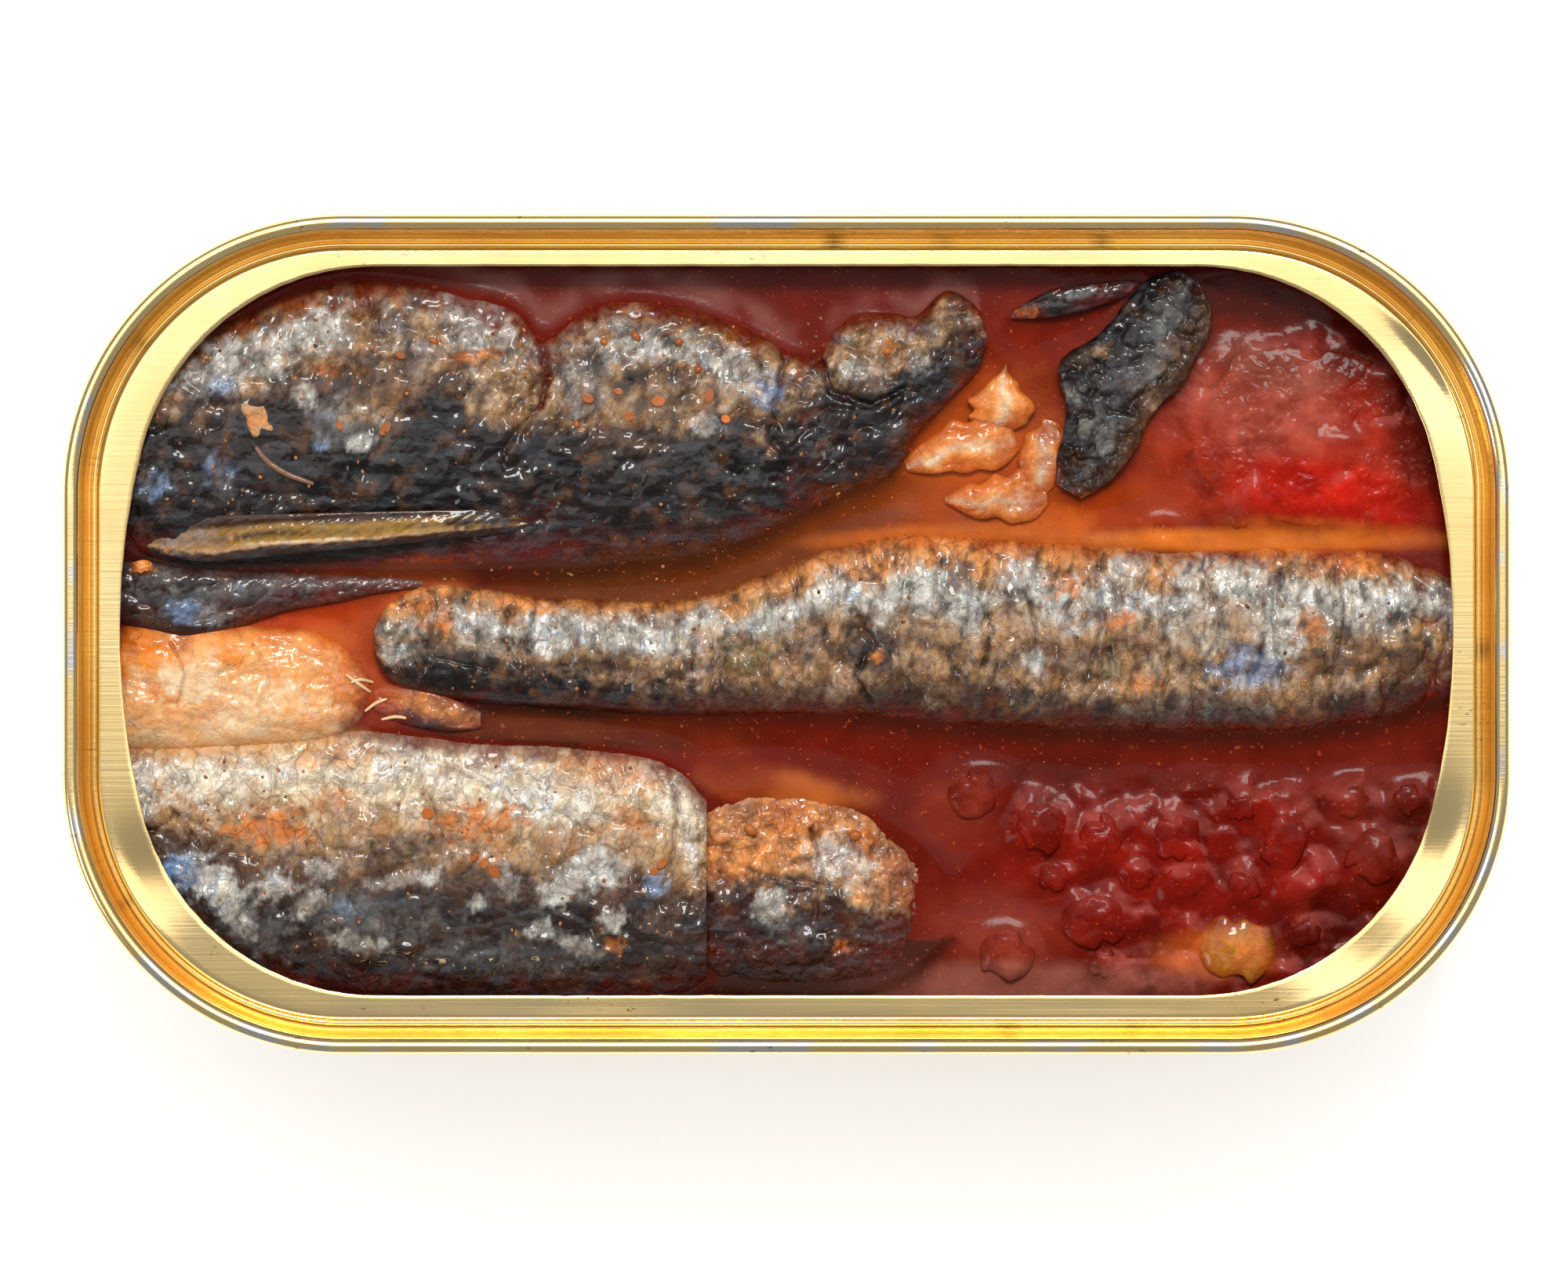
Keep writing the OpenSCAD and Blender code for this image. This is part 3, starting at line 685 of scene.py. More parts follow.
def skinRelief(x, y, look):
    # long swells, lobes with sharp creases where a folded noise crosses zero, fine grit, blocks of muscle, knobs,
    # cracks with a rounded bottom and lumps; gives the height and the shade that lies in the creases
    r, seed = look["relief"], look["seed"]
    swell = cloud(x, y, 4.2, seed + 50, 2) * r["swell"]
    wide = np.abs(cloud(x, y, 2.6, seed + 51, 2, r["turn"], r["stretch"]))
    tight = np.abs(cloud(x, y, 1.1, seed + 53, 2, r["turn"] + 25, r["stretch"]))
    lobes, small = [np.minimum(1, 2.2 * n) ** 0.6 - 0.6 for n in (wide, tight)]
    height = swell + (lobes + 0.45 * small) * r["fold"] + cloud(x, y, 0.45, seed + 52, 2) * r["grit"]
    keep = rise(-0.35, 0.2, cloud(x, y, 2.2, seed + 54, 2)) * min(1, 2.2 * r["fold"])
    crease = np.maximum(0.62 * np.exp(-(wide / 0.07) ** 2), 0.42 * np.exp(-(tight / 0.08) ** 2))
    shade = r.get("crease", 1.0) * keep * crease
    if "segments" in look:
        # muscle blocks: rounded humps across the body with a sharp crease between
        period, depth, slant = look["segments"]
        at = (x + slant * y + 1.3 * cloud(x, y, 3.0, seed + 55, 3)) / period
        f = at - np.floor(at)
        hump = np.sqrt(np.maximum(0, 1 - (2 * f - 1) ** 4))
        here = rise(-0.25, 0.25, cloud(np.floor(at) * 7.7, y, 3.0, seed + 56, 2))
        height += depth * (hump - 1) * (0.35 + 0.65 * here)
        shade = np.maximum(shade, (1 - hump) ** 2 * here * 0.5)
    if "knobs" in r:
        size, high = r["knobs"]
        near, _ = cells(x, y, size, seed + 57)
        knob = np.exp(-(near / 0.45) ** 2)
        height += high * (knob - 0.4)
        shade = np.maximum(shade, 0.6 * rise(0.45, 0.1, knob))
    for width, depth, points in look["cracks"]:
        away = lineAway(x + 0.25 * cloud(x, y, 1.0, 61, 2), y + 0.25 * cloud(x, y, 1.0, 62, 2), points)
        slit = np.exp(-(away / width) ** 2)
        height -= depth * slit
        shade = np.maximum(shade, slit * min(1, depth * 1.6))
    for px, py, rx, ry, turn, high in look["lumps"]:
        height += high * oval(x, y, (px, py), (rx, ry), turn, 0.15, 1.0, 63)
    return height, shade


sauceLook = dict(
    cols=404, rows=240, base=linear(112, 28, 16), strain=np.array([0.80, 0.70, 0.50]),
    # the first colour on the next line is a painted reflection of the lamp, laid behind each fish; the second is
    # painted shade, laid in front of each fish
    paintedReflection=linear(140, 92, 84), brownShade=linear(46, 20, 10), bead=linear(214, 96, 60),
    rough=0.35, coat=0.15, coatRough=0.14, bump=0.8, coatBump=0.35, bumpHigh=0.00035,
    sunk=0.12, drawnUp=[(0.32, 1.6), (0.4, 1.0)],  # how high and how far it climbs up the fish and the wall
    lumpHigh=1.08, domeHigh=0.7, pulpHigh=0.8, waveHigh=0.03,
    pools=[  # colour, place, reach, turn, amount
        # the second pool on the next line, dark brown above the front fish, is painted shadow of the middle fish
        ((30, 24, 24), -36, 5.9, 14, 1.0, 4, 0.95), ((48, 24, 14), -17, -6.6, 10, 1.6, -3, 1),
        ((40, 24, 18), -26, -27.4, 22, 1.8, 0, 0.9), ((56, 26, 18), 0, -25.6, 8, 2.4, 0, 0.9),
        ((230, 184, 132), -40, -8.0, 8.5, 1.7, 0, 0.95),
        ((200, 110, 58), 0, -11.2, 5.5, 1.5, -8, 0.85), ((232, 122, 40), -28.5, 2.4, 5, 2.4, 20, 0.9),
        # the first pool on the next line, the dark band along the rear edge, is the painted shadow of the lid's ledge
        ((96, 26, 14), 0, 26.9, 40, 2.0, 0, 0.9), ((116, 58, 20), -6, 4.6, 14, 3.2, 8, 1),
        ((126, 60, 22), 6, 9.4, 7, 3.4, 20, 1),
        ((108, 56, 22), -14, 3.8, 5, 1.4, 0, 1), ((176, 80, 26), 16, 9.0, 8, 4.2, 0, 1),
        ((128, 36, 20), 16, 21, 7, 3.2, 0, 0.9),
        ((164, 60, 16), 25, 9.4, 5.5, 2.0, 6, 1), ((176, 80, 34), 15, 14, 5.5, 5.5, 0, 0.9),
        ((206, 100, 30), 13, 13.4, 4.2, 2.4, 12, 0.8),
        ((214, 104, 34), 20.2, 8.2, 2.2, 1.1, 0, 0.8), ((168, 64, 44), 28, 13, 4.0, 5.0, 30, 0.8),
        ((184, 58, 46), 38, 13, 9.5, 7.0, -8, 0.9),
        # the pale lilac pool at 34.5, 16.8 on the next line and the one at 35.5, 19.4 below it are painted
        # reflections of the lamp on the heap of pulp
        ((186, 96, 88), 34.5, 16.8, 6.0, 3.6, -8, 0.75), ((190, 34, 24), 39.5, 9.6, 7.0, 2.2, -6, 0.95),
        ((92, 26, 18), 41, 22, 10, 3.0, -32, 0.9), ((150, 92, 88), 35.5, 19.4, 4.5, 1.8, -20, 0.6),
        ((206, 40, 28), 38.5, 10.8, 5.5, 1.8, -6, 0.9),
        ((96, 26, 18), 46.4, 15.5, 3.0, 6.5, 20, 0.85), ((196, 96, 44), 40, 7.4, 8, 1.0, -4, 0.8),
        ((76, 22, 14), 33, 24.4, 6, 1.6, -12, 0.9),
        ((186, 66, 26), -35, 1.8, 8, 2.4, 12, 1), ((216, 110, 50), -33, -2.2, 3.4, 2.8, 0, 0.95),
        ((176, 74, 42), -29.6, -1.6, 2.6, 4.4, 0, 0.9),
        ((160, 70, 40), -27, 4.0, 5.0, 1.4, 12, 0.7),
        # both pools on the next line, dark brown above the front fish, are painted shadow of the middle fish
        ((104, 44, 18), -18, -6.8, 9, 1.0, -3, 1), ((100, 34, 13), -7, -7.2, 6, 1.4, -4, 1),
        ((134, 44, 22), -3.6, -10.0, 3.6, 2.0, -30, 0.8),
        ((116, 28, 16), 8, -9.6, 9, 2.0, -4, 0.9), ((96, 26, 18), 22, -10.6, 10, 1.8, -4, 0.9),
        ((138, 52, 42), 12.6, -13.4, 3.2, 2.6, -20, 0.8),
        ((138, 24, 16), 29, -17.5, 15, 6.5, 0, 0.85), ((128, 44, 36), 44, -13.2, 4.5, 5.0, 30, 0.6),
        ((206, 108, 52), 31, -23.2, 4.4, 1.8, 0, 0.8),
        # the pale lilac band at 17, -25.4 on the next line is a painted reflection of the lamp on the liquid
        ((140, 56, 44), 15, -21.5, 5.5, 3.2, 0, 0.6), ((156, 96, 94), 17, -25.4, 13, 1.7, 0, 0.85),
        ((88, 22, 16), 38, -21.5, 4, 3, 30, 0.6),
        ((206, 110, 40), 11, 7.2, 9, 0.8, 3, 0.8), ((226, 128, 52), 33, 6.8, 13, 0.9, 0, 0.9)])


def poolHue(x, y):
    # colour of the sauce from above: pools with soft uneven edges laid one over another; a few of them are painted
    # shadow and painted reflection
    hue = np.tile(sauceLook["base"], (len(x), 1))
    for k, (rgb, px, py, rx, ry, turn, amount) in enumerate(sauceLook["pools"]):
        u, v = turned(x, y, turn, (px, py))
        far = np.hypot(u / rx, v / ry)
        near = far < 1.7
        mask = np.zeros(len(x))
        mask[near] = amount * rise(1.35, 0.55, far[near] + 0.25 * cloud(x[near], y[near], 2.5, 300 + k, 3))
        hue = blend(hue, linear(*rgb), mask)
    return hue * sauceLook["strain"]


topPower, flankPower, flankShare = 2.7, 2.1, 0.8  # squareness over and under the widest line, and its height
pulpFilm = linear(178, 92, 84)  # painted sheen: pale, a painted reflection of the lamp on the rear of every lump
headroom = 4.3  # food stays this far under the top of the seam
creepTop, creepFull = 1.35, 0.2  # heights over the sauce where its colour ends and where it is fullest


def loftFish(name, look):
    # rings along the stations, each |y|^p + |z|^p = 1 with a flattened back over a round belly, pushed out along
    # its normals by the relief; a station is x, rear edge, front edge, share of the rise, share of the depth
    fine = np.linspace(0, 1, 2000)
    probe = through(look["stations"], fine)
    run = np.concatenate([[0], np.cumsum(np.linalg.norm(np.diff(probe[:, :3], axis=0), axis=1))])
    row = through(look["stations"], np.interp(np.linspace(0, run[-1], look["rings"]), run, fine))
    top = sauceZ + row[:, 3] * fishRise
    low = sauceZ - row[:, 4] * sauceDeep
    wide = low + flankShare * (top - low)
    mid, half = (row[:, 1] + row[:, 2]) / 2, (row[:, 1] - row[:, 2]) / 2
    qTop = np.cos(np.linspace(0, np.pi, look["sides"]))
    qLow = np.cos(np.linspace(np.pi, 2 * np.pi, 26)[1:-1])
    upper = (1 - np.abs(qTop) ** topPower) ** (1 / topPower)
    under = -(1 - np.abs(qLow) ** flankPower) ** (1 / flankPower)
    q = np.concatenate([qTop, qLow])
    rows, cols = len(row), len(q)
    x = np.repeat(row[:, :1], cols, 1)
    y = mid[:, None] + half[:, None] * q[None]
    z = wide[:, None] + np.hstack([(top - wide)[:, None] * upper[None], (wide - low)[:, None] * under[None]])
    if "axis" in look:  # a piece laid at a turn
        ax, ay, turn = look["axis"]
        c, s = math.cos(math.radians(turn)), math.sin(math.radians(turn))
        x, y = ax + x * c - y * s, ay + x * s + y * c
    x, y = pressIn(x, y)
    grid = np.stack([x, y, z], -1)
    normal = np.cross(np.gradient(grid, axis=0), np.roll(grid, -1, 1) - np.roll(grid, 1, 1))
    normal /= np.maximum(np.linalg.norm(normal, axis=2, keepdims=True), 1e-9)
    if normal[rows // 2, len(qTop) // 2, 2] < 0:
        normal = -normal
    fx, fy = x.ravel(), y.ravel()
    across = np.clip((1 - np.tile(q, rows)) / 2, 0, 1)
    height, shade = skinRelief(fx, fy, look)
    height = height * (1 - 0.5 * skinLook(fx, fy, across, look)[2])
    if look.get("pulpy"):
        height = height + 0.22 * pulpShape(fx, fy)[0] + 0.10 * cloud(fx, fy, 1.4, 39, 2)
    calm = rise(sauceZ - 1.6, sauceZ + 0.5, z.ravel()) * (1 - 0.9 * rise(0.55, 0.95, np.abs(np.tile(q, rows))))
    ends = np.minimum(1, np.minimum(np.arange(rows), np.arange(rows)[::-1]) / 6)
    push = (height * calm).reshape(rows, cols) * ends[:, None]
    grid = grid + normal * push[..., None]
    grid[..., 2] = np.minimum(grid[..., 2], tin["height"] - headroom + look.get("proud", 0.0))
    quads = gridFaces(rows, cols, False, True)[:, ::-1]
    obj = makeMesh(name, grid, quads, [np.arange(cols), (np.arange(cols) + (rows - 1) * cols)[::-1]])
    gx, gy, gz = grid.reshape(-1, 3).T
    hue, foil, wetAndSheen = skinLook(gx, gy, across, look)
    if look.get("pulpy"):
        lumps, mark = pulpShape(gx, gy)
        hue = sauceHue(gx, gy, np.ones(len(gx)), lumps, mark) * look["pulpy"]
        # rear-facing slopes painted pale: a painted reflection of the lamp
        hue = blend(hue, pulpFilm, 0.4 * rise(0.0, 0.8, normal[..., 1].ravel() + 0.3 * cloud(gx, gy, 1.6, 45, 3)))
        paint(obj, "pulp", np.ones(len(gx)))
    hue = hue * (1 - 0.8 * shade)[:, None]
    foil = foil * (1 - shade)
    # the liquid creeps up the sides, so near the waterline a piece takes the colour of the sauce beside it
    uneven = 0.6 * cloud(gx, gy, 1.7, look["seed"] + 71, 3)
    creep = look.get("creep", 1.0) * rise(sauceZ + creepTop, sauceZ + creepFull, gz + uneven)
    hue = hue + (poolHue(gx, gy) - hue) * (0.85 * creep)[:, None]
    paint(obj, "hue", hue)
    paint(obj, "foil", foil * (1 - 0.8 * creep))
    paint(obj, "wetAndSheen", wetAndSheen)
    return obj


skinPattern = dict(  # grains to the metre; how far a pattern is pushed about, in metres
    push=700, pushFar=0.0012, along=(1.0, 0.8, 0.8), patch=620.0, patchLevel=0.43, folds=900.0,
    # the next line starts with the size, stretch and levels of the painted grey sheen
    paintedSheen=900.0, paintedSheenAlong=(0.4, 1.5, 1.0), paintedSheenSpan=(0.46, 0.62), scales=480, scaleEdge=0.045,
    facets=1500, facetPush=0.0022, facetAlong=(1.25, 0.7, 0.9), facetTone=(0.1, 0.9, 0.2, 1.35), glint=(0.62, 0.9),
    grit=4200.0, tint=520.0, high=dict(patch=1.6, grit=0.22, facet=0.45, line=0.35, scale=0.3))


def makeSkinGrain():
    # silver that comes and goes, hairlines, crackle, a painted grey sheen and a fine height, all at true size
    p = skinPattern
    tree, sheet, given, put = newGroup(
        "skinGrain", [("Patch Edge", 0.10), ("Line Width", 0.035)],
        ["Patch", "Line", "Film", "Crackle", "Height", "Tint", "Facet", "Glint"])
    bent = sheet.add("ShaderNodeTexNoise")
    bent.inputs["Scale"].default_value = p["push"]
    sheet.join(sheet.place(), bent.inputs["Vector"])
    where = sheet.bend(bent.outputs["Color"], p["pushFar"], sheet.place(p["along"]))
    broad = sheet.noise(where, p["patch"], 5.0, 0.62)
    patch = sheet.math("DIVIDE", sheet.math("SUBTRACT", broad, p["patchLevel"]), given["Patch Edge"], clamp=True)
    sheet.join(patch, put["Patch"])
    ridge = sheet.math("ABSOLUTE", sheet.math("SUBTRACT", sheet.noise(where, p["folds"], 3.0, 0.55), 0.5))
    line = sheet.math("SUBTRACT", 1.0, sheet.math("DIVIDE", ridge, given["Line Width"], clamp=True))
    sheet.join(line, put["Line"])
    # the pattern of the painted grey sheen: long streaks along x
    sheet.join(sheet.span(sheet.noise(sheet.place(p["paintedSheenAlong"]), p["paintedSheen"], 4.0, 0.6), *p["paintedSheenSpan"]), put["Film"])
    edge = sheet.add("ShaderNodeTexVoronoi", feature="DISTANCE_TO_EDGE")
    edge.inputs["Scale"].default_value = p["scales"]
    sheet.join(where, edge.inputs["Vector"])
    crackle = sheet.span(edge.outputs["Distance"], 0.0, p["scaleEdge"], 1.0, 0.0)
    sheet.join(crackle, put["Crackle"])
    # crinkled foil: small slanted faces, each with its own brightness, stretched across the body
    creased = sheet.bend(bent.outputs["Color"], p["facetPush"], sheet.place(p["facetAlong"]))
    faces = sheet.add("ShaderNodeTexVoronoi")
    dial(faces, {"Scale": p["facets"], "Detail": 1.0})
    sheet.join(creased, faces.inputs["Vector"])
    split = sheet.add("ShaderNodeSeparateColor")
    sheet.join(faces.outputs["Color"], split.inputs[0])
    sheet.join(sheet.span(split.outputs[0], *p["facetTone"]), put["Facet"])
    sheet.join(sheet.span(split.outputs[1], *p["glint"]), put["Glint"])
    fine = sheet.noise(sheet.place(), p["grit"], 2.0)
    high = p["high"]
    height = sheet.math("ADD", sheet.times(broad, high["patch"]), sheet.times(fine, high["grit"]))
    height = sheet.math("ADD", height, sheet.times(faces.outputs["Distance"], high["facet"]))
    height = sheet.math("SUBTRACT", height, sheet.times(line, high["line"]))
    height = sheet.math("SUBTRACT", height, sheet.times(crackle, high["scale"]))
    sheet.join(height, put["Height"])
    sheet.join(sheet.noise(sheet.place(), p["tint"], 3.0), put["Tint"])
    return tree


def skinMaterial(name, grainGroup, look):
    # skin colour, silver breaking through it, a painted grey sheen on the wetted parts (a painted reflection of the
    # lamps in the coat of liquid), and a smoother coat of liquid on top
    mat, sheet, bsdf = newMaterial(name)
    group = sheet.add("ShaderNodeGroup", node_tree=grainGroup)
    give = group.outputs
    hue, foil, wetAndSheen = sheet.attribute("hue", True), sheet.attribute("foil"), sheet.attribute("wetAndSheen")
    warm = sheet.mix(1.0, hue, look["warm"], "MULTIPLY")
    base = sheet.mix(sheet.span(give["Tint"], 0.35, 0.65, 0.0, look["warmth"]), hue, warm)
    dark = sheet.mix(1.0, base, look["crackleShade"], "MULTIPLY")
    base = sheet.mix(sheet.times(give["Crackle"], look["crackle"]), base, dark)
    shine = sheet.mix(sheet.span(give["Tint"], 0.42, 0.58), look["silver"], look["coolSilver"])
    shown = sheet.times(foil, sheet.math("ADD", sheet.times(give["Patch"], 0.85), 0.15))
    facet = sheet.add("ShaderNodeCombineColor")
    for k in range(3):
        sheet.join(give["Facet"], facet.inputs[k])
    shine = sheet.mix(0.75, shine, facet.outputs[0], "MULTIPLY")
    shine = sheet.mix(sheet.times(give["Glint"], 0.8), shine, look["glint"])
    base = sheet.mix(sheet.times(shown, look["silverAmount"]), base, shine)
    creased = sheet.mix(1.0, base, look["lineShade"], "MULTIPLY")
    base = sheet.mix(sheet.times(give["Line"], look["line"]), base, creased)
    # painted grey sheen, a painted reflection of the lamps in the coat of liquid, laid on the wetted parts
    base = sheet.mix(sheet.times(sheet.times(wetAndSheen, give["Film"]), look["paintedSheen"]), base, look["paintedSheenColour"])
    sheet.join(base, bsdf.inputs["Base Color"])
    sheet.join(sheet.times(shown, look["metal"]), bsdf.inputs["Metallic"])
    sheet.join(sheet.span(foil, 0.0, 1.0, *look["rough"]), bsdf.inputs["Roughness"])
    dial(bsdf, {"Specular IOR Level": 0.05, "Coat Weight": look["coat"], "Coat Roughness": 0.08})
    sheet.join(sheet.bump(give["Height"], look["bump"], 0.00022), bsdf.inputs["Normal"])
    soft = sheet.noise(sheet.place(), 650.0, 2.0)
    sheet.join(sheet.bump(soft, look["coatBump"], 0.00025), bsdf.inputs["Coat Normal"])
    return mat


skin = dict(
    warm=(1.0, 0.72, 0.44), warmth=0.5, crackle=0.45, silver=linear(200, 184, 158), coolSilver=linear(160, 176, 196),
    glint=linear(236, 236, 230),
    # the next line holds the amount and colour of the painted grey sheen on the skin
    silverAmount=0.85, line=0.38, paintedSheen=0.42, paintedSheenColour=linear(80, 83, 88), coat=0.5, bump=0.55,
    crackleShade=(0.22, 0.18, 0.16), lineShade=(0.30, 0.24, 0.20), metal=0.45, rough=(0.5, 0.36), coatBump=0.35)

rearFish = dict(
    seed=101, blotch=0.8, rings=560, sides=130, warp=0.17, mottle=0.35,
    stations=[[-50.3, 14.5, 9, 0.1, 0.6], [-48, 19.5, 5.4, 0.8, 0.9], [-44, 22.4, 4.0, 0.95, 0.95],
              [-40, 24.0, 3.9, 1, 0.97], [-35.5, 26.2, 3.9, 1, 0.97], [-31, 27.0, 3.9, 1, 0.97],
              [-25.5, 26.3, 3.9, 0.98, 0.97], [-20.0, 25.0, 3.9, 0.9, 0.97], [-17.6, 23.0, 3.9, 0.75, 0.97],
              [-14.6, 24.6, 4.0, 0.95, 0.97], [-12, 25.3, 4.4, 1, 0.96], [-7, 24.7, 4.9, 1, 0.95],
              [-2.5, 22.9, 6.2, 0.92, 0.9], [1.5, 21.3, 8.2, 0.7, 0.85], [4.6, 23.7, 9.8, 0.88, 0.75],
              [7.6, 23.7, 11.2, 0.85, 0.6], [9.4, 23.4, 14.0, 0.72, 0.5], [11.6, 25.0, 16.6, 0.8, 0.4],
              [13.8, 23.8, 19.0, 0.6, 0.2], [14.5, 22.0, 20.8, 0.3, 0.1]],
    zones=[(0.0, "amber"), (0.05, "amber"), (0.12, "tan"), (0.2, "grey"), (0.32, "tan"), (0.40, "brown"),
           (0.47, "dark"), (0.58, "black"), (0.7, "dark"), (1.0, "dark")],
    patches=[("silver", -33.8, 22.4, 1.9, 1.6, 0, 1), ("silver", -39.2, 20.0, 4.0, 1.7, 10, 0.9),
             ("blue", -41.1, 17.9, 1.1, 0.6, 20, 0.9), ("orange", -39.2, 22.4, 1.0, 0.8, 0, 0.7),
             ("orange", -35.8, 24.1, 1.6, 0.6, 0, 0.7), ("amber", -31.2, 23.6, 2.4, 0.9, -10, 0.9),
             ("orange", -33.3, 19.2, 1.0, 0.5, 0, 0.8), ("silver", -22.3, 22.8, 3.3, 1.9, -25, 0.85),
             ("orange", -22.5, 20.1, 2.0, 0.55, 4, 1), ("tan", -20.6, 17.6, 2.8, 2.4, 0, 0.9),
             ("tan", -25.6, 21.6, 1.6, 1.4, 0, 0.6), ("brown", -27, 19, 3.0, 1.2, 0, 0.6),
             ("dark", -41, 15.6, 5.0, 1.8, 8, 0.95), ("grey", -32, 15.8, 3.0, 1.9, -20, 0.8),
             ("tan", -30.5, 16.4, 2.0, 1.2, 0, 0.6), ("silver", -34.8, 17.4, 0.9, 0.8, 0, 0.8),
             ("blue", -45.7, 10.8, 1.1, 0.9, 0, 0.9), ("blue", -41.1, 12.0, 1.3, 1.1, -30, 0.95),
             ("silver", -31.0, 14.0, 1.2, 0.6, 15, 0.8), ("blue", -33.6, 13.7, 0.6, 0.4, 0, 0.8),
             ("black", -27, 10.9, 7.5, 2.2, 0, 0.95), ("dark", -41, 13.0, 7, 3.2, 0, 0.8),
             ("silver", -11.3, 20.6, 3.0, 0.9, 0, 0.85), ("silver", -7, 20.4, 1.6, 0.8, -10, 0.7),
             ("silver", -3.6, 19.1, 2.1, 1.3, -25, 0.9), ("blue", -1.3, 17.3, 1.0, 1.3, 0, 0.7),
             ("silver", -5.9, 15.2, 1.1, 0.8, 0, 0.8), ("tan", -9.5, 16.4, 5.0, 2.0, 0, 0.7),
             ("grey", -14.6, 18.0, 1.8, 2.6, 0, 0.8), ("brown", -12, 14.2, 4.0, 1.2, 0, 0.6),
             ("tan", 6.5, 20.4, 3.2, 1.6, 10, 0.85), ("silver", 5.0, 19.0, 1.6, 0.8, -15, 0.7),
             ("silver", 9.6, 19.6, 1.0, 0.8, 0, 0.5), ("dark", 3.2, 15.0, 4.2, 3.2, 30, 0.95),
             ("dark", 9.0, 16.2, 2.6, 1.8, 50, 0.9), ("amber", 5.8, 23.1, 2.4, 0.6, 0, 0.9),
             ("orange", 7.3, 20.6, 0.8, 0.6, 0, 0.9), ("dark", 12.6, 22.4, 1.0, 2.0, 20, 0.8),
             ("dark", 1.2, 20.6, 1.0, 1.2, 0, 0.9), ("tan", 11.4, 22.6, 1.0, 1.0, 0, 0.6)],
    cracks=[(0.28, 0.8, [(-17.2, 24.5), (-17.9, 21.5), (-17.3, 18.5), (-17.8, 16.5)]),
            (0.22, 0.5, [(-17.8, 16.5), (-20.5, 13.6), (-22, 12.4)]),
            (0.3, 0.8, [(1.6, 22.5), (2.4, 19.8), (3.2, 17.6), (6.0, 16.6), (8.6, 17.8)]),
            (0.25, 0.5, [(0.0, 21.4), (-0.4, 18.0), (-1.2, 14.5), (0.2, 12.2)]),
            (0.18, 0.35, [(-30.5, 25.5), (-29.6, 22.0), (-28.6, 20.6)]),
            (0.15, 0.3, [(-45.5, 12.6), (-38, 10.2), (-30, 9.6), (-24, 9.8)])],
    lumps=[(7.4, 20.6, 0.7, 0.6, 0, 0.3), (3.35, 11.7, 1.1, 0.9, 0, 0.35), (-28.0, 20.2, 0.4, 0.35, 0, 0.25),
           (-32.4, 15.15, 0.35, 0.3, 0, 0.2), (-29.1, 14.9, 0.5, 0.4, 0, 0.25), (-22.5, 20.1, 1.9, 0.45, 4, 0.25),
           (-32, 7.4, 15.5, 1.5, 3.4, -0.6)],
    relief=dict(swell=0.42, fold=0.5, grit=0.08, turn=20, stretch=1.3, knobs=(1.7, 0.16)))

skinGrain = makeSkinGrain()
wetSkin = skinMaterial("wetSkin", skinGrain, skin)

made = []


def makePiece(name, look, mat, slot, *nodes):
    # one loft with its finish, set in the tin
    obj = loftFish(name, look)
    obj.data.materials.append(mat)
    made.append(settle(obj, slot, *nodes))


makePiece("rearSardine", rearFish, wetSkin, "dark_skin", "sardine_rear")
print("rear sardine ready")


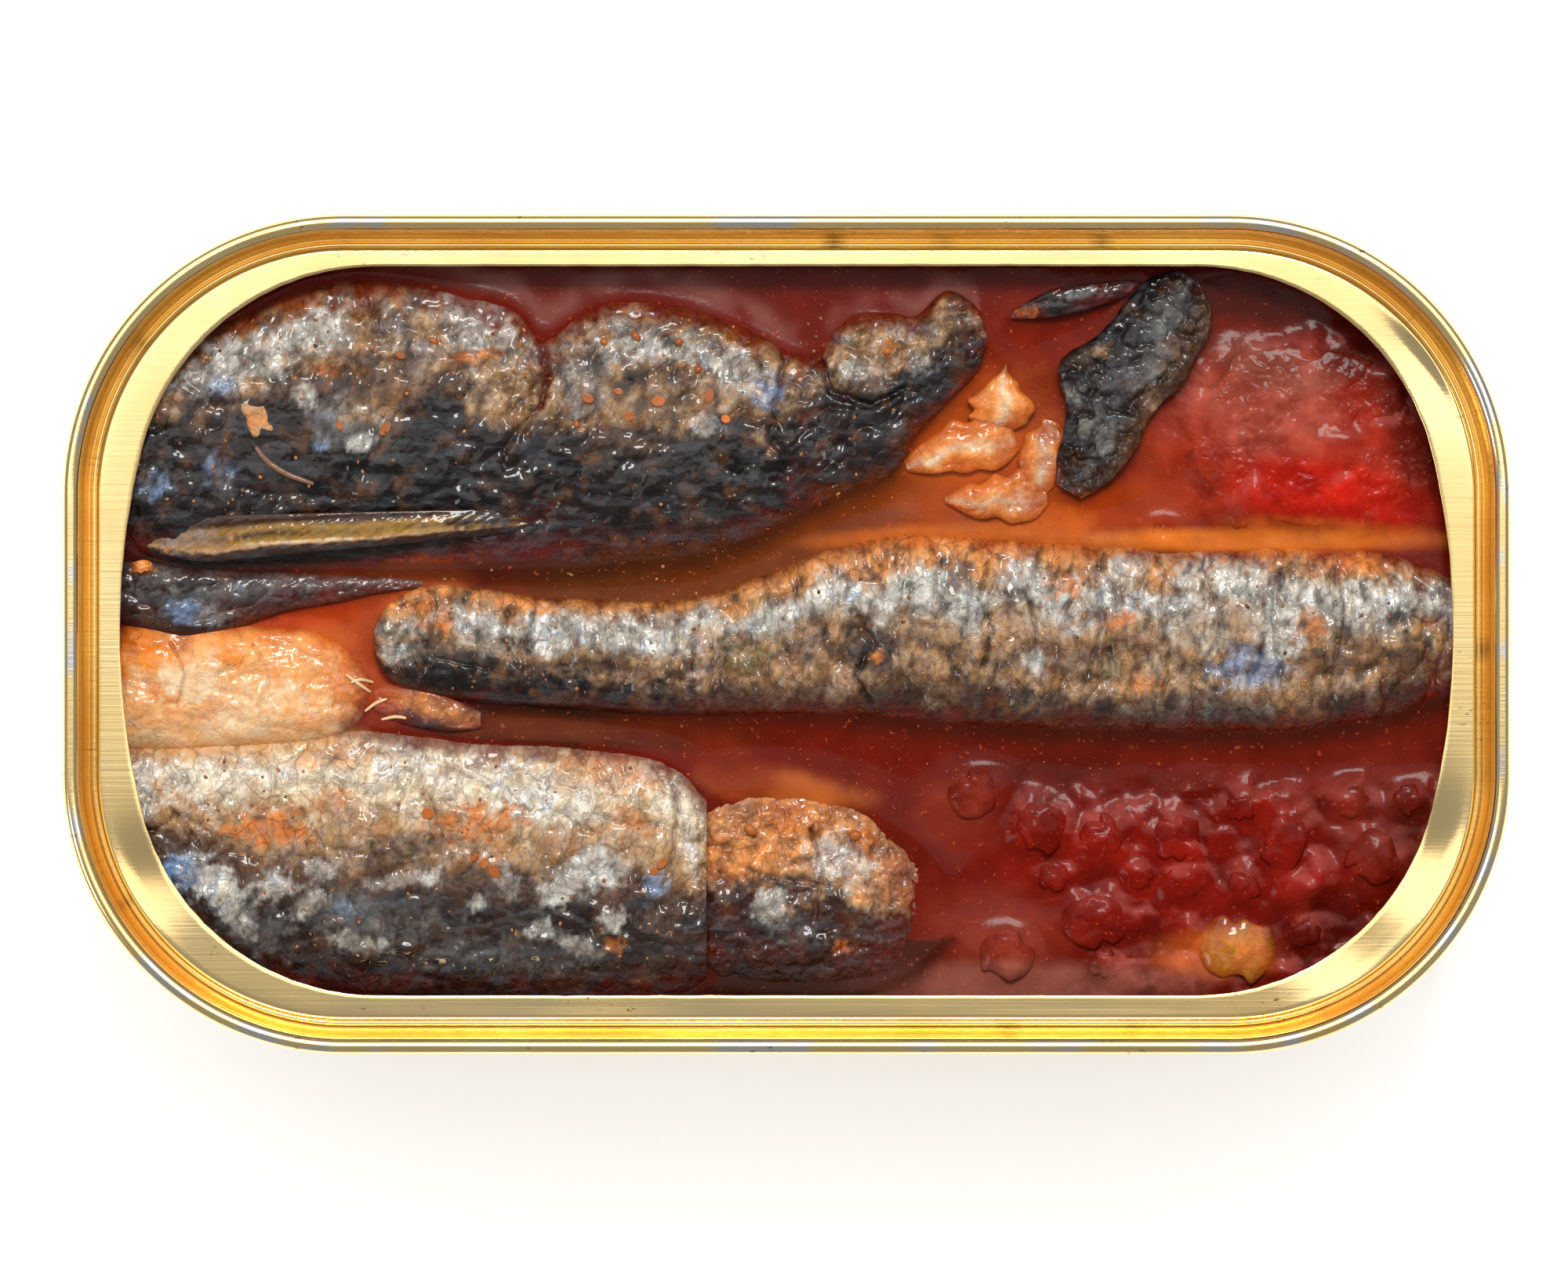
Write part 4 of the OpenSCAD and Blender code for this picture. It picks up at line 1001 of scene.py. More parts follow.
middleFish = dict(
    seed=202, blotch=0.9, rings=620, sides=110, warp=0.12, mottle=0.5, segments=(3.9, 0.5, 0.12),
    stations=[[-29.9, 0.6, -1.4, 0.4, 0.1], [-28.9, 2.2, -3.2, 0.8, 0.2], [-26.0, 3.6, -4.4, 0.95, 0.3],
              [-22, 3.4, -5.0, 0.92, 0.4],
              [-18, 2.8, -5.4, 0.85, 0.45], [-14, 2.7, -5.7, 0.85, 0.5], [-10, 2.6, -6.0, 0.87, 0.55],
              [-6, 3.0, -6.1, 0.9, 0.6],
              [-1, 4.9, -6.2, 0.92, 0.7], [3, 6.7, -6.4, 0.95, 0.8], [8, 7.9, -6.9, 0.98, 0.9],
              [14, 7.8, -7.4, 1, 0.94],
              [20, 7.4, -7.7, 1, 0.96], [26, 7.2, -7.9, 1, 0.97], [31, 6.9, -7.9, 1, 0.97], [36, 7.1, -7.9, 1, 0.97],
              [40, 6.9, -7.4, 0.96, 0.95], [44, 6.6, -6.6, 0.9, 0.92], [49.8, 4.4, -4.6, 0.3, 0.7],
              [50.9, 1.8, -2, 0, 0.5]],
    zones=[(0.0, "apricot"), (0.09, "peach"), (0.20, "tan"), (0.29, "silver"), (0.40, "steel"), (0.50, "tan"),
           (0.60, "brown"), (0.72, "tan"), (0.84, "brown"), (0.92, "umber"), (1.0, "umber")],
    patches=[("orange", -25.0, 1.6, 1.9, 1.3, 0, 0.9), ("silver", -23.8, 1.5, 0.5, 0.9, 0, 1),
             ("tan", -28, 0.8, 1.3, 1.0, 0, 0.6),
             ("silver", -28.3, -1.3, 1.2, 0.9, 0, 0.8), ("dark", -26.5, -1.2, 1.8, 1.2, -30, 0.7),
             ("black", -24.2, -3.0, 2.6, 1.2, -12, 1),
             ("silver", -17.2, 0.1, 2.2, 1.6, -20, 1), ("steel", -21, -0.6, 2.2, 1.0, 0, 0.8),
             ("black", -17.5, -3.6, 3.2, 1.0, -6, 1), ("black", -20, -3.9, 8.0, 1.9, -6, 1),
             ("dark", -23, -2.0, 3.0, 0.8, -10, 0.8),
             ("dark", -13.5, -2.0, 2.2, 0.9, 0, 0.7), ("silver", -9.5, 0.0, 2.0, 1.3, 10, 0.9),
             ("tan", -5.5, -0.6, 2.6, 1.4, 0, 0.7),
             ("olive", -3.4, -1.6, 2.2, 1.2, 0, 0.8), ("black", -9.6, -4.2, 4.0, 0.9, 0, 0.9),
             ("brown", -2, -4.6, 4, 1.2, 0, 0.7),
             ("peach", 6.5, 5.4, 4.4, 1.4, 8, 0.8), ("silver", 3.3, 3.9, 1.3, 1.1, 0, 0.7),
             ("peach", 13.0, 5.9, 3.0, 1.4, 0, 0.7),
             ("slate", 12.3, 3.6, 1.4, 2.0, 0, 0.8), ("apricot", 27, 6.6, 14, 1.0, 0, 0.8),
             ("apricot", 9, 6.6, 7, 1.0, 6, 0.6), ("silver", 9.6, 2.8, 1.4, 1.3, 0, 0.8),
             ("silver", 17.0, 4.2, 1.1, 1.2, 0, 0.9),
             ("dark", 5.8, -0.6, 1.7, 2.4, 15, 0.85), ("umber", 8.6, -3.6, 3.0, 2.2, 0, 0.8),
             ("orange", 6.7, -1.6, 0.6, 0.5, 0, 0.9),
             ("tan", 10.6, -2.2, 2.0, 0.9, 0, 0.7), ("orange", 20.4, 3.6, 1.8, 0.9, 0, 0.9),
             ("tan", 16.2, 1.2, 1.4, 1.5, 0, 0.8),
             ("silver", 21, 1.0, 1.6, 1.1, 0, 0.7), ("orange", 24.0, 1.0, 1.4, 0.6, 10, 0.7),
             ("silver", 18.0, -1.9, 0.9, 0.9, 0, 0.9),
             ("silver", 24.8, 5.0, 1.7, 1.1, 0, 0.8), ("silver", 29.5, 4.6, 1.6, 1.6, 0, 0.8),
             ("tan", 31.5, 1.4, 2.0, 1.5, 0, 0.6),
             ("blue", 33.4, -2.2, 2.6, 1.7, 10, 0.5), ("silver", 36.0, 0.4, 1.6, 2.4, 0, 0.8),
             ("orange", 37.9, 0.6, 1.2, 1.1, 0, 0.8),
             ("silver", 33.0, 4.2, 2.4, 1.4, 0, 0.7), ("tan", 26.5, -2.0, 1.8, 1.0, 0, 0.7),
             ("olive", 22.8, -2.6, 1.4, 0.8, 0, 0.7),
             ("orange", 26, -3.6, 1.6, 0.6, 0, 0.6), ("brown", 40.8, -0.2, 1.4, 2.6, 15, 0.7),
             ("orange", 41.9, 5.4, 2.2, 1.2, 0, 0.9),
             ("silver", 43.2, 2.4, 1.8, 1.2, 0, 0.6), ("dark", 44.6, 1.4, 1.1, 0.9, 0, 0.9),
             ("umber", 45.2, -2.6, 1.6, 2.2, 0, 0.8),
             ("umber", 20, -6.4, 9, 1.0, 0, 0.8), ("dark", 15.6, -4.8, 2.6, 0.9, 0, 0.7),
             ("slate", 30, -5.4, 5, 0.9, 0, 0.6)],
    cracks=[(0.16, 0.5, [(14.6, 5.2), (14.0, 2.6), (15.0, 0.2), (14.2, -2.4)]),
            (0.14, 0.45, [(17.6, 2.6), (18.2, -0.4), (17.4, -3.2)]),
            (0.14, 0.4, [(22.4, 4.2), (22.9, 1.0), (22.0, -2.8)]),
            (0.14, 0.45, [(27.4, 4.8), (27.0, 1.6), (27.8, -1.6), (27.2, -4.6)]),
            (0.14, 0.4, [(31.8, 3.0), (31.2, -0.6), (32.0, -3.6)]),
            (0.16, 0.45, [(35.8, 4.4), (35.2, 1.0), (35.9, -2.6)]),
            (0.14, 0.4, [(39.8, 5.0), (40.4, 1.2), (39.6, -3.0)]),
            (0.2, 0.6, [(5.2, 1.4), (6.4, -0.8), (5.0, -3.0), (6.2, -5.2)]),
            (0.15, 0.4, [(-20.0, 2.0), (-20.6, -0.4), (-19.6, -2.2)]),
            (0.15, 0.4, [(-25.9, 2.2), (-26.8, 0.2), (-25.6, -1.6), (-21.8, -2.6)])],
    lumps=[(-25.0, 1.6, 1.9, 1.3, 0, 0.3), (20.4, 3.6, 1.8, 0.9, 0, 0.22), (37.9, 0.6, 1.2, 1.0, 0, 0.25)],
    relief=dict(swell=0.30, fold=0.5, grit=0.06, turn=84, stretch=2.4))

frontFish = dict(
    seed=303, blotch=0.38, rings=500, sides=130, warp=0.10, mottle=0.30,
    stations=[[-50, -9.6, -13, 0.3, 0.6], [-48.6, -8.2, -16.4, 0.7, 0.8], [-47, -7.6, -19.2, 0.85, 0.9],
              [-43.5, -7.2, -23.2, 0.97, 0.95],
              [-40, -6.9, -25.4, 1, 0.96], [-35.5, -6.3, -27.0, 1, 0.97], [-31, -5.8, -27.7, 1, 0.97],
              [-27, -6.2, -28.0, 1, 0.97],
              [-22, -6.8, -28.2, 1, 0.97], [-17, -6.9, -28.2, 0.98, 0.97], [-13, -7.3, -28.2, 0.95, 0.96],
              [-9.6, -7.9, -28.0, 0.95, 0.95],
              [-7.8, -8.8, -27.4, 0.9, 0.93], [-6.6, -9.9, -26.8, 0.84, 0.9], [-5.8, -11, -26.2, 0.75, 0.86]],
    zones=[(0.0, "cream"), (0.10, "cream"), (0.17, "pearl"), (0.24, "cream"), (0.32, "tan"), (0.42, "tan"),
           (0.53, "brown"),
           (0.66, "dark"), (0.84, "umber"), (1.0, "black")],
    patches=[("flesh", -33, -8.4, 4.0, 1.4, 0, 0.8), ("pearl", -41.5, -10.4, 4.2, 2.0, 10, 0.8),
             ("pearl", -24.5, -9.4, 5.0, 1.3, 0, 0.8),
             ("flesh", -14.2, -9.6, 3.6, 1.6, -6, 0.9), ("orange", -11.6, -10.2, 2.6, 1.3, -20, 0.5),
             ("silver", -18, -12.4, 4.2, 1.4, -14, 0.7),
             ("orange", -37.6, -14.0, 3.2, 1.3, 4, 0.95), ("orange", -22.2, -13.6, 3.2, 1.3, 8, 0.9),
             ("orange", -33, -12.0, 1.8, 0.7, 20, 0.6),
             ("orange", -11.2, -13.4, 2.0, 0.8, -30, 0.6), ("silver", -46.6, -11.4, 1.1, 2.4, -15, 0.7),
             ("tan", -29, -13.8, 3.0, 1.4, 0, 0.8),
             ("silver", -41.6, -18.0, 2.6, 1.4, -25, 0.95), ("blue", -43.8, -17.2, 1.4, 1.0, -30, 0.9),
             ("silver", -37.0, -18.2, 1.4, 1.0, 0, 0.8),
             ("silver", -33.8, -17.0, 1.3, 0.8, 0, 0.6), ("silver", -16.2, -18.4, 1.6, 1.2, 10, 0.9),
             ("silver", -13.6, -16.8, 2.2, 1.5, 0, 0.95),
             ("silver", -12.6, -20.8, 0.9, 0.8, 0, 0.9), ("blue", -9.4, -18.2, 0.9, 0.8, 0, 0.7),
             ("silver", -17.8, -21.4, 1.0, 0.7, 0, 0.7),
             ("silver", -26.0, -17.6, 0.9, 0.8, 0, 0.6), ("silver", -22.4, -19.4, 0.7, 0.6, 0, 0.6),
             ("blue", -32, -20.0, 0.7, 0.6, 0, 0.7),
             ("slate", -30, -20.5, 5.0, 1.6, -5, 0.7), ("slate", -38.6, -21.4, 3.0, 1.6, -30, 0.7),
             ("slate", -20, -23.2, 7.0, 1.2, 0, 0.6),
             ("steel", -40, -20.4, 2.0, 0.8, -50, 0.8), ("steel", -34.6, -19.6, 1.6, 0.7, 35, 0.8),
             ("steel", -28.6, -18.0, 1.9, 0.6, 10, 0.8),
             ("steel", -20.2, -18.0, 0.8, 1.3, 20, 0.9), ("steel", -15.2, -22.6, 1.7, 0.6, -20, 0.7),
             ("steel", -31.2, -22.4, 2.2, 0.7, -10, 0.7),
             ("pearl", -7.2, -13.6, 0.8, 3.8, 8, 1), ("tan", -10.0, -15.4, 2.0, 1.3, 0, 0.7),
             ("dark", -27.6, -15.6, 3.6, 1.0, 6, 0.8),
             ("black", -47.6, -14.6, 1.2, 2.0, 10, 0.9), ("black", -30, -25.4, 14, 1.6, -3, 0.8),
             ("brown", -8.6, -20.4, 1.5, 1.3, 0, 0.6),
             ("orange", -12.6, -22.6, 0.8, 0.6, 0, 0.5)],
    cracks=[(0.14, 0.4, [(-46.8, -14.8), (-44.2, -13.0), (-41.6, -14.4)]),
            (0.16, 0.4, [(-44.6, -12.6), (-42.6, -15.2)]),
            (0.16, 0.35, [(-35.2, -12.6), (-33.6, -15.2), (-30.4, -16.0)]),
            (0.14, 0.3, [(-26.2, -11.4), (-24.8, -15.0), (-21.0, -16.2)]),
            (0.2, 0.35, [(-8.6, -9.4), (-7.9, -12.6), (-8.4, -16.6)])],
    lumps=[(-37.6, -14.0, 3.0, 1.2, 4, 0.25), (-22.2, -13.6, 3.0, 1.2, 8, 0.22), (-41.6, -18.0, 2.4, 1.3, -25, 0.3),
           (-16.2, -18.4, 1.5, 1.1, 10, 0.3), (-13.4, -16.8, 2.0, 1.4, 0, 0.35), (-12.6, -20.8, 0.9, 0.8, 0, 0.3),
           (-37.0, -18.2, 1.3, 0.9, 0, 0.3), (-7.0, -13.6, 0.5, 3.8, 8, 0.15)],
    relief=dict(swell=0.34, fold=0.46, grit=0.08, turn=-8, stretch=1.4))

shortFish = dict(
    seed=404, creep=0.7, blotch=0.6, rings=260, sides=150, warp=0.14, mottle=0.32,
    stations=[[-6.2, -11.5, -26.0, 0.3, 0.7], [-5.0, -10.6, -26.6, 0.5, 0.8], [-1.5, -10.2, -26.9, 0.58, 0.85],
              [2, -10.4, -27.0, 0.58, 0.86],
              [5, -11.2, -26.9, 0.55, 0.85], [7.4, -12.6, -26.2, 0.34, 0.75], [9.6, -14.0, -25.2, -0.02, 0.6],
              [12.2, -16.8, -22.4, -0.45, 0.35]],
    zones=[(0.0, "peach"), (0.12, "flesh"), (0.28, "apricot"), (0.40, "peach"), (0.47, "tan"), (0.54, "umber"),
           (0.66, "dark"), (1.0, "umber")],
    patches=[("orange", -0.6, -13.6, 2.4, 1.6, 0, 0.7), ("peach", -2.6, -15.2, 2.2, 1.4, 0, 0.7),
             ("silver", 4.0, -16.4, 2.6, 1.8, -25, 0.85),
             ("orange", 5.6, -15.0, 1.0, 0.8, 0, 0.8), ("dark", -1.6, -19.0, 3.6, 1.8, 0, 0.9),
             ("silver", -1.2, -19.8, 1.3, 1.2, 0, 0.8),
             ("slate", 0.4, -21.4, 1.6, 1.2, 0, 0.8), ("tan", 6.4, -18.4, 1.8, 1.2, -20, 0.6),
             ("umber", 5.2, -22.0, 3.2, 1.8, 0, 0.8),
             ("rose", 8.6, -17.2, 1.5, 2.0, 0, 0.7), ("orange", 4.0, -22.8, 0.6, 0.5, 0, 0.9),
             ("black", -3.4, -23.6, 1.6, 1.6, 0, 0.8)],
    cracks=[(0.15, 0.35, [(-3.4, -16.8), (-1.0, -17.6), (2.6, -18.2)]),
            (0.15, 0.3, [(1.8, -14.2), (2.6, -17.0), (2.0, -20.6)])],
    lumps=[(-1.2, -19.8, 1.2, 1.1, 0, 0.3), (5.6, -15.0, 0.8, 0.7, 0, 0.2)],
    relief=dict(swell=0.30, fold=0.40, grit=0.08, turn=0, stretch=1.3))

bellyFlesh = dict(
    seed=505, blotch=0.1, rings=260, sides=120, warp=0.14, mottle=0.14,
    stations=[[-50.3, -1.0, -6.6, 0.1, 0.35], [-48.8, 0.4, -8.4, 0.5, 0.45], [-47.5, 1.2, -8.8, 0.6, 0.5],
              [-44, 1.2, -8.8, 0.75, 0.57],
              [-41, 1.0, -8.6, 0.8, 0.6], [-38, 0.9, -8.4, 0.8, 0.55], [-35, 0.7, -8.2, 0.75, 0.5],
              [-32.6, -0.3, -7.6, 0.6, 0.4],
              [-30.9, -1.8, -6.6, 0.3, 0.3], [-30.2, -3.0, -5.4, 0.05, 0.2]],
    zones=[(0.0, "orange"), (0.10, "apricot"), (0.4, "flesh"), (0.8, "flesh"), (1.0, "cream")],
    patches=[("yolk", -47.0, -0.9, 2.4, 2.2, -30, 0.95), ("yolk", -40.2, -1.8, 1.2, 0.6, 0, 0.7),
             ("orange", -45.2, -4.2, 1.3, 0.9, 0, 0.8), ("apricot", -41, 0.2, 4.5, 1.2, 0, 0.9),
             ("apricot", -36, -3.6, 2.2, 1.6, 0, 0.7),
             ("cream", -43.4, -3.4, 2.4, 1.4, 0, 0.7), ("cream", -37.6, -4.6, 3.0, 1.2, 0, 0.6),
             ("orange", -33.4, -2.4, 1.4, 1.6, 0, 0.6),
             ("cream", -39.4, -6.4, 3.0, 0.8, 0, 0.6), ("orange", -31.6, -4.0, 1.2, 3.0, 0, 0.8),
             ("amber", -30.8, -4.0, 0.6, 3.0, 0, 0.6)],
    cracks=[(0.10, 0.18, [(-44.6, -0.6), (-43.6, -3.0), (-44.2, -5.2)]),
            (0.10, 0.15, [(-38.6, -0.8), (-37.4, -3.2), (-38.4, -5.4)])],
    lumps=[(-40.2, -1.8, 0.8, 0.45, 0, 0.15), (-45.0, -4.4, 0.9, 0.6, 0, 0.15)],
    relief=dict(swell=0.42, fold=0.16, grit=0.04, turn=-14, stretch=3.0, crease=0.25))

bellyStrip = dict(
    seed=606, blotch=0.5, rings=240, sides=60, warp=0.16, mottle=0.4,
    stations=[[-49.9, 4.4, 1.4, 0.1, 0.12], [-48.4, 5.2, 0.8, 0.4, 0.18], [-47, 5.3, 0.3, 0.5, 0.2],
              [-43.6, 4.9, -0.4, 0.6, 0.2],
              [-40, 4.6, 0.4, 0.6, 0.2], [-36.4, 4.5, 1.6, 0.52, 0.18], [-33, 4.3, 2.2, 0.4, 0.15],
              [-29.6, 4.2, 2.9, 0.25, 0.1],
              [-26.4, 3.9, 3.3, 0.1, 0.05]],
    zones=[(0.0, "dark"), (0.3, "slate"), (0.6, "dark"), (1.0, "umber")],
    patches=[("blue", -43.4, 1.6, 1.6, 0.9, -20, 0.5), ("grey", -41.6, 1.4, 1.4, 0.8, 0, 0.7),
             ("slate", -36, 3.4, 3.4, 0.7, 4, 0.8),
             ("orange", -46.6, 4.7, 0.9, 0.4, 0, 0.9), ("umber", -39, 0.9, 2.0, 0.8, 0, 0.6),
             ("black", -44, 3.8, 5.0, 0.7, 0, 0.8), ("black", -33, 3.2, 4.0, 0.5, 5, 0.7)],
    creep=0.35, cracks=[], lumps=[], relief=dict(swell=0.28, fold=0.36, grit=0.08, turn=5, stretch=2.0))

fleshStub = dict(
    seed=707, blotch=0.4, rings=140, sides=60, warp=0.12, mottle=0.2,
    stations=[[-29.9, -4.0, -5.6, 0.15, 0.05], [-28.4, -3.6, -6.4, 0.2, 0.07], [-26, -4.0, -6.9, 0.5, 0.08],
              [-24.0, -4.8, -7.1, 0.4, 0.07],
              [-22.2, -5.6, -6.9, 0.2, 0.05]],
    zones=[(0.0, "rose"), (0.4, "peach"), (0.75, "rose"), (0.9, "dark"), (1.0, "dark")],
    patches=[("black", -27.2, -6.0, 2.0, 0.45, -8, 0.9), ("peach", -26.0, -5.0, 1.4, 0.8, 0, 0.8)],
    cracks=[], lumps=[], relief=dict(swell=0.14, fold=0.2, grit=0.05, turn=0, stretch=1.6))

tailStub = dict(
    seed=808, blotch=0.5, rings=240, sides=80, warp=0.14, mottle=0.4, axis=(28.8, 25.2, -119.5),
    stations=[[-0.9, 0.9, -0.9, 0.35, 0.05], [0.4, 2.6, -2.3, 0.8, 0.1], [2, 3.3, -3.0, 0.95, 0.14],
              [4.4, 3.3, -3.3, 1, 0.15],
              [6.5, 3.4, -3.9, 1, 0.16], [8.2, 2.8, -4.9, 0.95, 0.15], [9.8, 2.6, -5.0, 0.9, 0.15],
              [11.4, 2.8, -3.4, 0.9, 0.14],
              [13.2, 2.7, -2.5, 0.9, 0.14], [15.2, 2.2, -2.0, 0.75, 0.1], [17.0, 1.2, -1.0, 0.4, 0.05]],
    zones=[(0.0, "brown"), (0.2, "umber"), (0.4, "slate"), (0.65, "dark"), (1.0, "black")],
    patches=[("slate", 27.4, 23.0, 1.2, 1.8, -30, 0.8), ("grey", 25.8, 19.0, 1.2, 0.8, 0, 0.5),
             ("tan", 22.9, 20.6, 1.0, 0.5, 20, 0.9),
             ("black", 23.6, 16.4, 1.4, 2.2, -30, 0.8), ("brown", 28.0, 20.4, 1.0, 2.0, -25, 0.8),
             ("tan", 26.6, 17.0, 0.9, 0.8, 0, 0.6),
             ("grey", 20.6, 17.6, 1.0, 0.7, 0, 0.6), ("umber", 21.2, 12.0, 1.2, 1.4, 0, 0.9),
             ("slate", 22.0, 14.8, 1.4, 0.9, 0, 0.8)],
    cracks=[(0.16, 0.4, [(26.8, 21.0), (24.2, 18.8), (22.0, 17.6)])],
    lumps=[(24.6, 18.0, 1.2, 1.0, 0, 0.3), (22.0, 14.6, 1.2, 0.9, 0, 0.3)],
    relief=dict(swell=0.5, fold=0.6, grit=0.15, turn=-60, stretch=1.0, knobs=(1.15, 1.0)))

finStrip = dict(
    seed=909, blotch=0.2, rings=160, sides=36, warp=0.1, mottle=0.4, axis=(16.9, 23.3, 13.0),
    stations=[[-0.6, 0.3, -0.3, 0.2, 0.01], [0.8, 0.7, -0.6, 0.45, 0.03], [3, 1.2, -0.9, 0.6, 0.04],
              [6, 0.9, -0.8, 0.5, 0.04],
              [8.2, 0.6, -0.5, 0.3, 0.02], [9.2, 0.25, -0.2, 0.1, 0.01]],
    zones=[(0.0, "black"), (0.5, "dark"), (1.0, "black")],
    patches=[("orange", 17.4, 23.3, 1.0, 0.5, 10, 0.7), ("slate", 21.4, 24.7, 1.6, 0.4, 12, 0.8)],
    cracks=[], lumps=[], relief=dict(swell=0.12, fold=0.2, grit=0.06, turn=13, stretch=2.0))

softFlesh = skinMaterial("softFlesh", skinGrain, dict(skin, crackle=0.06, line=0.14, bump=0.45, coat=0.5, warmth=0.7,
                                                       warm=(1.0, 0.70, 0.38), silver=linear(244, 222, 196),
                                                       silverAmount=0.5))
for name, look, slot, node in (
        ("middleSardine", middleFish, "silver_skin", "sardine_middle"),
        ("frontSardine", frontFish, "cream_skin", "sardine_front"),
        ("shortSardine", shortFish, "silver_skin", "sardine_short"),
        ("bellyFlesh", bellyFlesh, "pale_flesh", "belly_flesh"),
        ("bellyStrip", bellyStrip, "dark_skin", "belly_strip"), ("fleshStub", fleshStub, "pale_flesh", "flesh_stub"),
        ("tailStub", tailStub, "dark_skin", "tail_stub"), ("finStrip", finStrip, "dark_skin", "fin_strip")):
    makePiece(name, look, softFlesh if slot == "pale_flesh" else wetSkin, slot, node)
print("all sardines ready")

lumpList = [((13.6, -11.8), 3.8, 3.2, 20), ((18.5, -14.1), 4.2, 3.4, -15), ((22.9, -14.8), 3.6, 3.0, 30),
            ((28.3, -14.8), 4.0, 3.0, 10), ((36.2, -15.2), 5.0, 2.8, 80), ((42.6, -16.2), 4.4, 3.4, -40),
            ((22.3, -20.9), 5.2, 3.6, 5), ((16.0, -23.3), 4.2, 3.4, -10)]
extraLumps = [((28.7, -18.1), 3.0, 2.6, 0), ((38.3, -18.1), 3.4, 2.6, 40), ((23.0, -23.8), 2.4, 2.2, 0),
              ((33.2, -18.4), 2.6, 2.2, 70),
              ((41.0, -12.2), 3.0, 2.2, -20), ((33.0, -12.6), 2.4, 1.8, 15), ((25.6, -17.6), 2.2, 1.9, 50),
              ((19.4, -17.6), 2.6, 2.0, 0),
              ((45.2, -12.0), 2.4, 2.0, 30), ((37.6, -21.6), 2.8, 2.2, 20), ((27.4, 6.9), 2.4, 2.2, 0),
              ((32.9, 8.4), 1.8, 1.5, 0)]

def fishEdge(x, y, look):
    # how far outside the waterline of a fish a place is, negative inside
    if "axis" in look:
        x, y = turned(x, y, look["axis"][2], look["axis"])
    st = through(look["stations"], np.linspace(0, 1, 300))
    order = np.argsort(st[:, 0])
    sink = np.clip(0.9 - 0.3 * st[order, 3], 0.4, 1.6)
    up = np.interp(x, st[order, 0], st[order, 1] - sink)
    down = np.interp(x, st[order, 0], st[order, 2] + sink)
    return np.maximum(np.maximum(y - up, down - y), np.maximum(st[:, 0].min() + 0.4 - x, x - st[:, 0].max() + 0.4))


def makeSauceMaterial():
    # deep red liquid with cloudy pulp and pale flecks under a smooth wet skin
    mat, sheet, bsdf = newMaterial("tomatoSauce")
    fleck = sheet.noise(sheet.place(), 2600.0, 2.0)
    cloudy = sheet.noise(sheet.place(), 480.0, 4.0, 0.6)
    colour, pulp = sheet.attribute("hue", True), sheet.attribute("pulp")
    deep = sheet.mix(1.0, colour, (0.5, 0.28, 0.24), "MULTIPLY")
    murk = sheet.times(sheet.span(cloudy, 0.40, 0.62, 1.0, 0.0), sheet.span(pulp, 0, 1, 0.25, 0.6))
    colour = sheet.mix(murk, colour, deep)
    pale = sheet.mix(0.5, colour, sauceLook["bead"])
    colour = sheet.mix(sheet.span(fleck, 0.66, 0.72, 0.0, 0.6), colour, pale)
    sheet.join(colour, bsdf.inputs["Base Color"])
    dial(bsdf, {"Roughness": sauceLook["rough"], "Specular IOR Level": 0.0,
                "Coat Weight": sauceLook["coat"], "Coat Roughness": sauceLook["coatRough"]})
    ripple = sheet.noise(sheet.place(), 420.0, 3.0, 0.5)
    height = sheet.math("ADD", sheet.times(ripple, sheet.span(pulp, 0, 1, 0.06, 1.0)), sheet.times(fleck, 0.08))
    for title, strength in (("Normal", sauceLook["bump"]), ("Coat Normal", sauceLook["coatBump"])):
        sheet.join(sheet.bump(height, strength, sauceLook["bumpHigh"]), bsdf.inputs[title])
    return mat


def pulpShape(x, y):
    # cooked tomato: round lumps of three sizes standing out of the liquid; gives height and a number for each lump
    warpX, warpY = x + 0.8 * cloud(x, y, 2.2, 31, 2), y + 0.8 * cloud(x, y, 2.2, 32, 2)
    total, mark = 0, 0
    for size, high, seed in ((3.8, 0.60, 33), (2.2, 0.26, 34), (1.1, 0.04, 35)):
        near, name = cells(warpX, warpY, size, seed)
        total = total + high * np.exp(-(near / 0.42) ** 2) * rise(0.15, 0.45, name)
        mark = mark + name * high
    return total, mark


def sauceHue(x, y, pulp, lumps, mark):
    # painted light and shade: lumps lighter and redder on top, the gaps between them deep red; each lump has its own
    # tone too
    hue = poolHue(x, y) * (1 + pulp * (0.55 * (mark - 0.5) + 0.5 * (lumps - 0.3)))[:, None]
    return hue * (1 + 0.20 * cloud(x, y, 1.8, 42, 5))[:, None]


mound = dict(place=(37.8, 14.3), turn=-8, long=9.2, wide=6.4)


def moundFar(x, y):
    # 1 at the rim of the heap of pulp, 0 in its middle
    u, v = turned(x, y, mound["turn"], mound["place"])
    return np.hypot(u / mound["long"], v / mound["wide"]) + 0.12 * cloud(x, y, 3, 38, 2)


